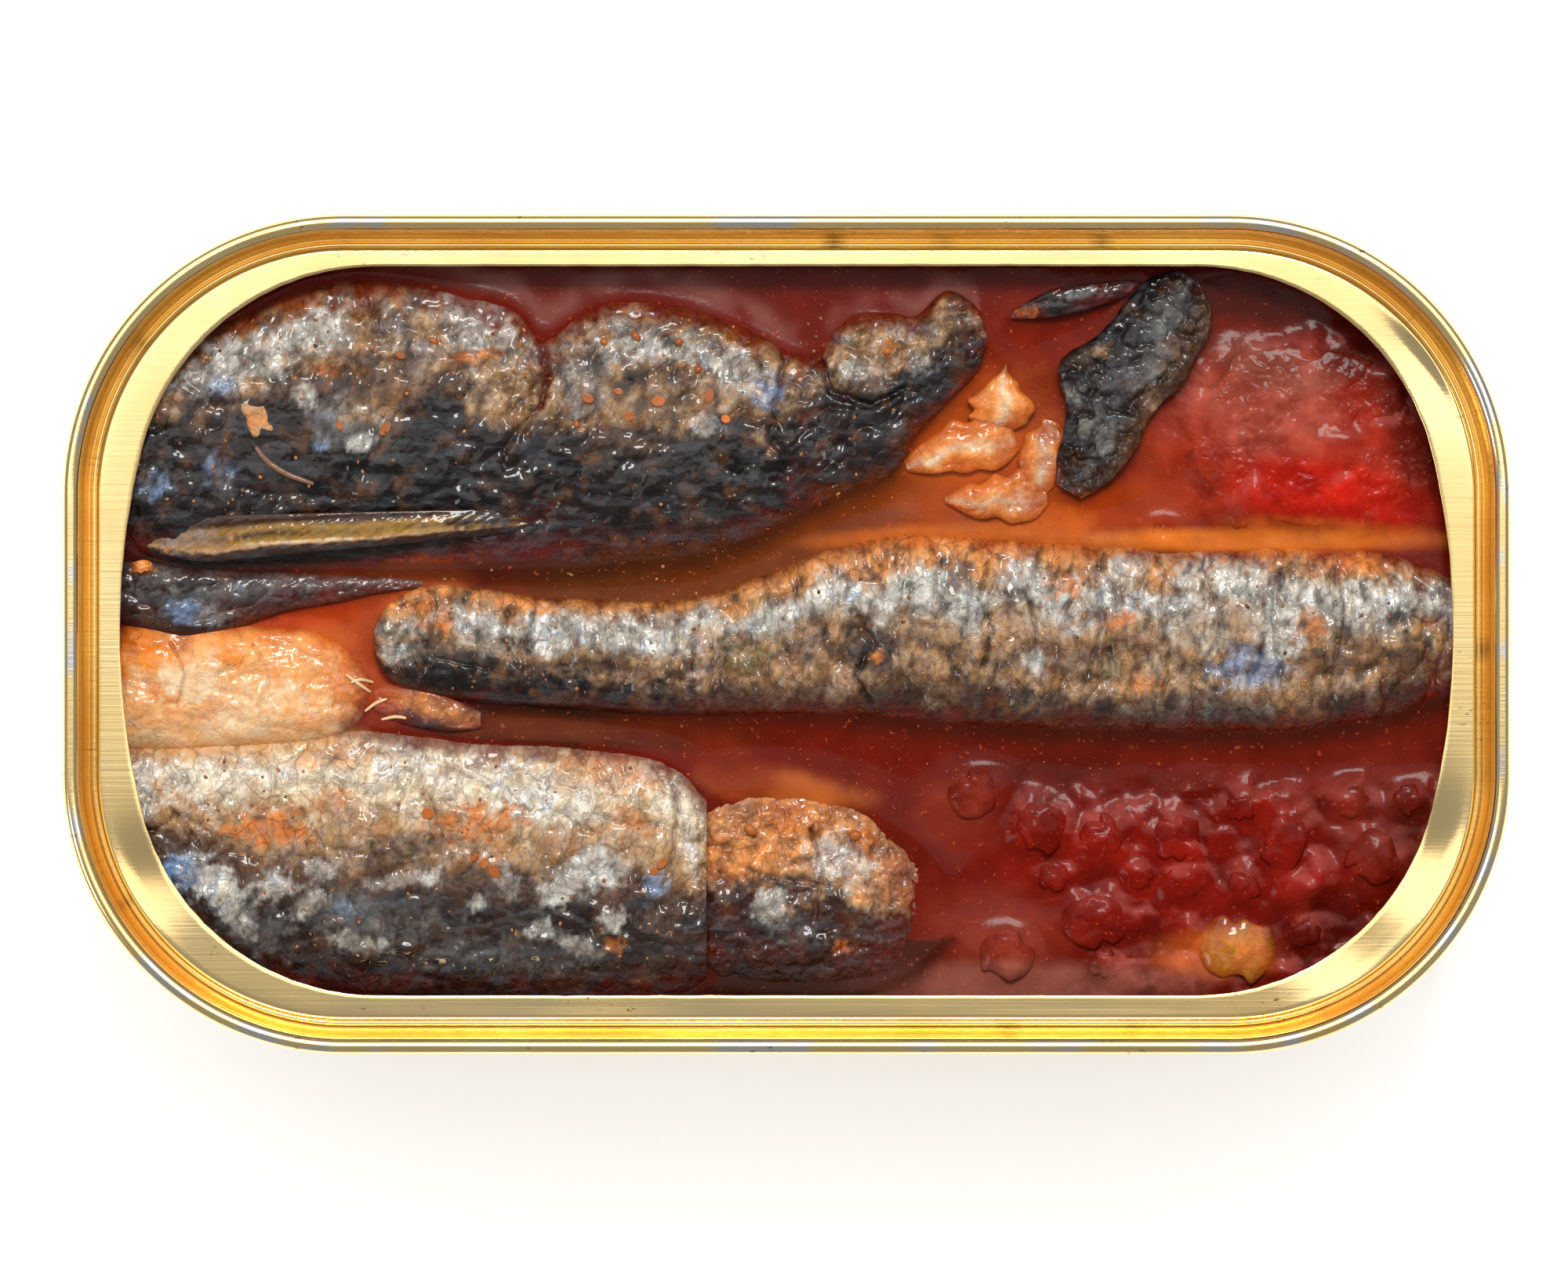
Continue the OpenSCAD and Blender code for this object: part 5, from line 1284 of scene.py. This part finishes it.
def makeSauce():
    # a height field over the inside of the tin: level liquid, drawn up along every edge, lumpy where there is pulp
    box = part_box("sauce")
    halfW = box[1][1] / mm
    r = halfW - coreY
    v = np.sin(np.linspace(-1, 1, sauceLook["rows"]) * np.pi / 2 * 0.985) / math.sin(np.pi / 2 * 0.985)
    v = 0.5 * v + 0.5 * np.linspace(-1, 1, sauceLook["rows"])
    y = (v * halfW)[:, None]
    reach = coreX + np.sqrt(np.maximum(0, r * r - np.maximum(0, np.abs(y) - coreY) ** 2))
    x = np.linspace(-1, 1, sauceLook["cols"])[None] * reach
    y = np.broadcast_to(y, x.shape)
    fx, fy = x.ravel().copy(), y.ravel().copy()
    away, behind = np.full(len(fx), 99.0), np.full(len(fx), 99.0)
    for look in fishLooks:
        away = np.minimum(away, fishEdge(fx, fy, look))
        behind = np.minimum(behind, fishEdge(fx, fy + 0.4, look))
    facing = np.clip((behind - away) / 0.4, -1, 1)
    mounded = np.zeros(len(fx))
    for place, length, width, turn in lumpList + extraLumps:
        u, w = turned(fx, fy, turn, place)
        far = np.hypot(u / length * 2, w / width * 2)
        mounded = np.maximum(mounded, np.exp(-(far / 1.2) ** 2) * min(1, width / 3))
    wall = r - np.hypot(fx - np.clip(fx, -coreX, coreX), fy - np.clip(fy, -coreY, coreY))
    rim = moundFar(fx, fy)
    frontRight = (rise(5, 13, fx + 0.5 * fy + 2 * cloud(fx, fy, 4, 36, 2))
                  * rise(-9.2, -12.4, fy + 0.8 * cloud(fx, fy, 3, 37, 2)))
    pulp = np.maximum(frontRight, rise(1.35, 0.95, rim))
    lumps, mark = pulpShape(fx, fy)
    climbs = [high * np.exp(-np.maximum(far, 0) / reach)
              for far, (high, reach) in zip((away, wall), sauceLook["drawnUp"])]
    height = climbs[0] + climbs[1]
    height += (sauceLook["lumpHigh"] * mounded + sauceLook["domeHigh"] * rise(1.5, 0.2, rim)
               + pulp * (sauceLook["pulpHigh"] * lumps + 0.10 * cloud(fx, fy, 1.4, 39, 2))
               + sauceLook["waveHigh"] * cloud(fx, fy, 3.0, 40, 2))
    z = sauceZ - sauceLook["sunk"] + height * (1 - 0.8 * rise(0.3, 2.5, -away))
    verts = np.stack([fx, fy, z], 1)
    rows, cols = x.shape
    index = np.arange(rows * cols).reshape(rows, cols)
    ring = np.concatenate([index[0, :-1], index[:-1, -1], index[-1, :0:-1], index[:0:-1, 0]])
    inner = verts[ring] * [[0.992, 0.985, 0]] + [[0, 0, floorZ - 0.7]]
    skirt = np.arange(len(ring)) + len(verts)
    side = np.stack([ring, skirt, np.roll(skirt, -1), np.roll(ring, -1)], 1)
    quads = np.vstack([gridFaces(rows, cols)[:, ::-1], side])
    obj = makeMesh("tomatoSauce", np.vstack([verts, inner]), quads, [skirt[::-1]])
    # the sauce painted up to 30 percent lighter where it heaps round the lumps: a painted highlight
    hue = sauceHue(fx, fy, pulp, lumps, mark) * (1 + 0.3 * mounded)[:, None]
    # rear-facing slopes of the pulp painted pale: a painted reflection of the lamp
    slope = np.gradient(z.reshape(rows, cols), axis=0) / np.gradient(y, axis=0)
    hue = blend(hue, pulpFilm, 0.4 * pulp * rise(0.0, 0.45, -slope.ravel() + 0.15 * cloud(fx, fy, 1.6, 45, 3)))
    # behind a fish a pale band, a painted reflection of the lamp on the liquid drawn up its side; in front of it its
    # brown shade, painted
    paintedReflection = (np.exp(-((away - 1.1 - 0.5 * cloud(fx, fy, 5.0, 44, 2)) / 0.9) ** 2)
            * rise(-0.25, 0.3, cloud(fx, fy, 4.0, 41, 2) + 0.1) * rise(0.1, 0.7, facing))
    hue = blend(hue, sauceLook["paintedReflection"], 0.5 * paintedReflection * rise(6, 14, np.where(fx < 14, fy, 0)))
    underBelly = rise(-28, -32, fx) * rise(-4, -7, fy)  # no shade there
    shaded = np.exp(-(np.maximum(away, 0) / 1.1) ** 2) * rise(0.1, 0.7, -facing) * (1 - underBelly)
    hue = blend(hue, sauceLook["brownShade"], 0.75 * shaded)
    hue = np.vstack([hue, hue[ring]])
    paint(obj, "hue", np.clip(hue, 0.002, 0.9))
    paint(obj, "pulp", np.concatenate([pulp, pulp[ring]]))
    obj.data.materials.append(sauceMaterial)
    return settle(obj, "tomato_sauce", "sauce")


fishLooks = [rearFish, middleFish, frontFish, shortFish, bellyFlesh, bellyStrip, fleshStub, tailStub, finStrip]
sauceMaterial = makeSauceMaterial()
made.append(makeSauce())
print("sauce ready")


soft = dict(swell=0.16, fold=0.05, grit=0.0, turn=0, stretch=1.6, crease=0.0)


def bitLook(place, length, width, turn, seed, zones, taper=0.0, high=0.5, deep=0.05, square=0.0, uneven=0.05, **more):
    # a small piece as a short loft: half width follows a rounded bar, narrower towards one end by the taper
    t = np.linspace(-1, 1, 9)
    half = width / 2 * np.maximum(0.12, 1 - np.abs(t) ** (2.4 + square)) ** 0.5 * (1 - taper * t)
    wave = uneven * width * np.random.default_rng(seed).normal(0, 1, (2, 9))
    st = [[length / 2 * k, h + a, -h + b, high * (1 - 0.75 * abs(k) ** 3), deep * (1 - 0.4 * abs(k) ** 3)]
          for k, h, a, b in zip(t, half, *wave)]
    look = dict(seed=seed, blotch=0.15, rings=70, sides=44, warp=0.16, mottle=0.2, axis=(place[0], place[1], turn),
                stations=st,
                zones=zones, patches=[], cracks=[], lumps=[],
                relief=dict(swell=0.3, fold=0.14, grit=0.04, turn=turn, stretch=1.6))
    look.update(more)
    return look


fleshZones = [(0.0, "orange"), (0.16, "orange"), (0.34, "apricot"), (0.55, "cream"), (0.75, "apricot"),
              (0.88, "orange"), (1.0, "orange")]
flakes = [  # place, length, width, turn, taper, height, rings, unevenness
    ((15.7, 17.2), 4.8, 3.8, 82, 0.66, 0.6, 120, 0.05), ((12.6, 13.4), 8.2, 4.0, 14, -0.25, 0.42, 140, 0.05),
    ((15.2, 9.9), 7.4, 3.4, 4, -0.45, 0.42, 130, 0.05), ((18.6, 12.9), 5.4, 3.4, 76, 0.1, 0.36, 110, 0.06)]
lumpTones = [(0.0, "tomato"), (0.5, "cherry"), (1.0, "tomato")]
boneLook = bitLook((-32.0, 7.5), 28.8, 2.7, 3.4, 25,
                   [(0.0, "umber"), (0.2, "umber"), (0.36, "brass"), (0.5, "umber"), (0.62, "brass"), (0.74, "tan"),
                    (0.8, "umber"), (1.0, "dark")],
                   creep=0, taper=0.38, high=1.0, deep=-0.048, square=4, uneven=0.0, rings=420, sides=50, warp=0.08,
                   proud=0.1,
                   patches=[("tan", -43, 6.7, 3.4, 0.7, 4, 0.8), ("brass", -31, 7.6, 5.5, 0.45, 4, 0.8),
                            ("dark", -20.5, 8.3, 4.2, 0.9, 0, 0.9), ("grey", -43.5, 7.0, 2.6, 0.6, 4, 0.7),
                            ("cream", -35, 6.75, 4.5, 0.12, 3, 0.7)],
                   relief=dict(swell=0.05, fold=0.22, grit=0.03, turn=3.4, stretch=12))
moundLook = dict(
    seed=26, blotch=0, rings=260, sides=240, warp=0.1, mottle=0.1, axis=(*mound["place"], mound["turn"]), pulpy=1.0,
    stations=[[-9.2, 1.2, -1.2, -0.05, 0.05], [-8.2, 3.6, -3.4, 0.12, 0.08], [-5, 5.8, -5.6, 0.3, 0.1],
              [0, 6.6, -6.4, 0.38, 0.1],
              [5, 5.8, -5.8, 0.32, 0.1], [8.2, 3.4, -3.6, 0.14, 0.08], [9.2, 1.2, -1.2, -0.05, 0.05]],
    zones=lumpTones, patches=[], cracks=[], lumps=[],
    relief=dict(swell=0.12, fold=0.16, grit=0.05, turn=0, stretch=1.0))
pepperLook = bitLook(
    (32.8, -22.8), 5.6, 4.0, -12, 27, [(0.0, "pepper"), (0.4, "gilt"), (1.0, "pepper")], high=0.45, deep=0.06,
    square=2, rings=120, sides=70, relief=soft,
    patches=[("orange", 34.2, -22.6, 1.6, 1.6, 0, 0.95), ("pepper", 31.2, -23.0, 1.2, 0.9, 0, 0.8)])


for k, (place, length, width, turn, taper, high, rings, uneven) in enumerate(flakes):
    look = bitLook(place, length, width, turn, 21 + k, fleshZones, taper=taper, high=high, deep=0.08, rings=rings,
                   sides=70, uneven=uneven)
    makePiece("flake%d" % (k + 1), look, softFlesh, "pale_flesh", "flake_%d" % (k + 1))
for k, (place, length, width, turn) in enumerate(lumpList):
    look = bitLook(place, length, width, turn, 30 + k, lumpTones, high=0.58, deep=0.08, rings=80, sides=56,
                   pulpy=1.25, relief=soft)
    makePiece("tomatoLump%d" % (k + 1), look, sauceMaterial, "tomato_pulp", "tomato_lump_%d" % (k + 1))
chips = [bitLook((-38.4, 15.6), 3.0, 2.3, 25, 51, [(0.0, "tan"), (0.5, "peach"), (1.0, "tan")], taper=0.3, high=1.1,
                 deep=-0.06, proud=0.15, creep=0, uneven=0.09),
         bitLook((-46.9, 4.9), 1.8, 0.9, 10, 52, [(0.0, "orange"), (0.5, "apricot"), (1.0, "orange")], high=0.72,
                 deep=-0.02, creep=0)]
for k, look in enumerate(chips):
    makePiece("chip%d" % (k + 1), look, softFlesh, "pale_flesh")
for name, look, mat, slot, node in (("boneStrip", boneLook, softFlesh, "bone", "bone_strip"),
                                    ("pulpMound", moundLook, sauceMaterial, "tomato_pulp", "pulp_mound"),
                                    ("pepperChunk", pepperLook, softFlesh, "pepper_flesh", "pepper_chunk")):
    makePiece(name, look, mat, slot, node)
print("bone, flakes and lumps ready")


def topAt(points):
    # height of the food under each place, found by a line dropped from above
    down = Vector((0, 0, -1))
    found = []
    for x, y in points:
        best = sauceZ
        for obj in made:
            lo, hi = obj.bound_box[0], obj.bound_box[6]
            if lo[0] <= x * mm <= hi[0] and lo[1] <= y * mm <= hi[1]:
                hit, where, _, _ = obj.ray_cast(Vector((x * mm, y * mm, 0.04)), down)
                if hit:
                    best = max(best, where[2] / mm)
        found.append(best)
    return np.array(found)


def finishBits(obj, hue, slot):
    # grains and needles carry their colour, with no silver and no painted sheen
    paint(obj, "hue", hue)
    for mask in ("foil", "wetAndSheen"):
        paint(obj, mask, np.zeros(len(hue)))
    obj.data.materials.append(grainSkin)
    settle(obj, slot)


def beads(name, places, radii, squash, colour, slot, spread, seed=9):
    # small rounded grains joined in one mesh: a ball grid, squashed, turned and set where each lies
    sunk = 0.3  # share of a grain under the surface
    rng = np.random.default_rng(seed)
    places = np.asarray(places, float)
    n, rows, cols = len(places), 9, 12
    lat, lon = np.linspace(-np.pi / 2, np.pi / 2, rows + 2)[1:-1], np.arange(cols) * 2 * np.pi / cols
    flat = np.cos(lat)[:, None]
    ball = np.stack([flat * np.cos(lon), flat * np.sin(lon), np.sin(lat)[:, None] + 0 * lon], -1).reshape(-1, 3)
    ball = np.vstack([ball, [[0, 0, -1], [0, 0, 1]]])
    turn = rng.uniform(0, np.pi, n)
    radii = np.broadcast_to(radii, n)
    long = rng.uniform(1, 1.35, n)
    c, s = np.cos(turn)[:, None], np.sin(turn)[:, None]
    bx, by, bz = ball[None, :, 0] * long[:, None], ball[None, :, 1] / long[:, None], ball[None, :, 2] * squash
    z = topAt(places) + radii * squash * (1 - 2 * sunk)
    r = radii[:, None]
    verts = np.stack([places[:, :1] + r * (bx * c - by * s), places[:, 1:2] + r * (bx * s + by * c),
                      z[:, None] + r * bz], -1)
    verts[..., 2] = np.minimum(verts[..., 2], tin["height"] - headroom + 0.1)
    step = len(ball)
    quads = gridFaces(rows, cols, False, True)[:, ::-1]
    here = np.arange(cols)
    after, last = (here + 1) % cols, (rows - 1) * cols
    low = np.stack([here, np.full(cols, step - 2), after], 1)
    top = np.stack([here + last, after + last, np.full(cols, step - 1)], 1)
    shift = np.arange(n)[:, None, None] * step
    tris = np.concatenate([low, top], 0)[None] + shift
    obj = makeMesh(name, verts.reshape(-1, 3), (quads[None] + shift).reshape(-1, 4), list(tris.reshape(-1, 3)))
    tone = np.asarray(colour)[None] * (1 + spread * rng.standard_normal((n, 1)))
    finishBits(obj, np.clip(np.repeat(tone, step, 0), 0.003, 0.9), slot)


def needles(name, lines, thick, colour, slot):
    # thin bones and rays: a round profile carried along each bent line, pointed at both ends
    steps, sides, lift = 22, 8, 0.1
    verts, quads, ends = [], [], []
    ring = np.arange(sides) * 2 * np.pi / sides
    for line in lines:
        t = np.linspace(0, 1, steps)
        path = through(line, t)
        z = topAt(path[:, :2])
        z = np.convolve(np.pad(z, 3, mode="edge"), np.ones(7) / 7, "valid") + lift
        way = np.gradient(path[:, :2], axis=0)
        way /= np.maximum(np.linalg.norm(way, axis=1, keepdims=True), 1e-6)
        r = thick * (0.25 + 0.75 * np.sin(np.pi * np.clip(t * 0.9 + 0.05, 0, 1)) ** 0.5)
        side = np.stack([-way[:, 1], way[:, 0]], 1)
        x = path[:, :1] + side[:, :1] * r[:, None] * np.cos(ring)
        y = path[:, 1:2] + side[:, 1:] * r[:, None] * np.cos(ring)
        start = len(verts) * steps * sides
        verts.append(np.stack([x, y, z[:, None] + r[:, None] * 0.6 * np.sin(ring)], -1).reshape(-1, 3))
        quads.append(gridFaces(steps, sides, False, True)[:, ::-1] + start)
        ends += [start + np.arange(sides), (start + np.arange(sides) + (steps - 1) * sides)[::-1]]
    obj = makeMesh(name, np.vstack(verts), np.vstack(quads), ends)
    finishBits(obj, np.tile(colour, (len(obj.data.vertices), 1)), slot)


grainSkin = skinMaterial("grainSkin", skinGrain, dict(skin, crackle=0.15, line=0.1, bump=0.25, coat=0.6))
parts = [loftFish("smallLumps",
                  bitLook(place, length, width, turn, 60 + k, lumpTones, high=0.36, deep=0.06, rings=50, sides=40,
                          pulpy=1.2, relief=soft))
         for k, (place, length, width, turn) in enumerate(extraLumps)]
bpy.ops.object.select_all(action="DESELECT")
for obj in parts:
    obj.select_set(True)
bpy.context.view_layer.objects.active = parts[0]
bpy.ops.object.join()
parts[0].data.materials.append(sauceMaterial)
made.append(settle(parts[0], "tomato_pulp"))
rng = np.random.default_rng(12)
granules = [(-28.0, 20.2), (-29.1, 14.9), (-32.4, 15.15), (-13.2, 21.2), (-10.9, 21.6), (-7.8, 21.2), (-14.4, 17.1),
            (-12.2, 17.6),
            (-9.3, 16.9), (-5.6, 17.3), (-15.2, 15.2), (-11.4, 15.8), (7.3, 20.5), (-25.6, 21.3), (-6.4, 19.2),
            (-4.4, 15.6),
            (-21.9, -16.6), (-21.2, -17.2), (-22.6, -16.2), (-9.6, -17.2), (-9.0, -16.6), (-2.6, -14.2), (5.0, -14.6),
            (-26, -13.0)]
beads("granules", granules, rng.uniform(0.26, 0.46, len(granules)), 0.8, linear(170, 96, 44), "pale_flesh", 0.2)
crumbsAt = np.vstack([np.stack([rng.uniform(-46, 8, 150), rng.uniform(9, 23, 150)], 1),
                      np.stack([rng.uniform(-46, -8, 110), rng.uniform(-24, -9, 110)], 1),
                      np.stack([rng.uniform(-26, 44, 150), rng.uniform(-4, 5, 150)], 1)])
beads("fineGrains", crumbsAt, rng.uniform(0.07, 0.16, len(crumbsAt)), 0.6, linear(150, 100, 60), "pale_flesh", 0.4,
      seed=13)
specksAt = np.vstack([np.stack([rng.uniform(-14, 22, 90), rng.uniform(3.5, 10, 90)], 1),
                      np.stack([rng.uniform(-10, 30, 60), rng.uniform(-12, -8, 60)], 1),
                      np.stack([rng.uniform(-10, 20, 30), rng.uniform(24, 26.5, 30)], 1)])
beads("oilSpecks", specksAt, rng.uniform(0.03, 0.08, len(specksAt)), 0.5, linear(160, 76, 36), "tomato_sauce", 0.35,
      seed=14)
needles("boneNeedles", [[(-32.0, -2.9), (-31.2, -3.5), (-30.2, -4.2)], [(-31.6, -3.5), (-30.9, -3.3), (-30.0, -3.5)],
                        [(-30.6, -5.6), (-29.8, -5.0), (-29.0, -4.7)],
                        [(-29.4, -6.2), (-28.4, -6.0), (-27.6, -6.1)]], 0.13, linear(226, 196, 150), "bone")
needles("finRay", [[(-38.5, 13.6), (-37.6, 12.5), (-36.2, 11.6), (-34.3, 10.9)]], 0.22, linear(124, 92, 74), "bone")
print("grains and needles ready")
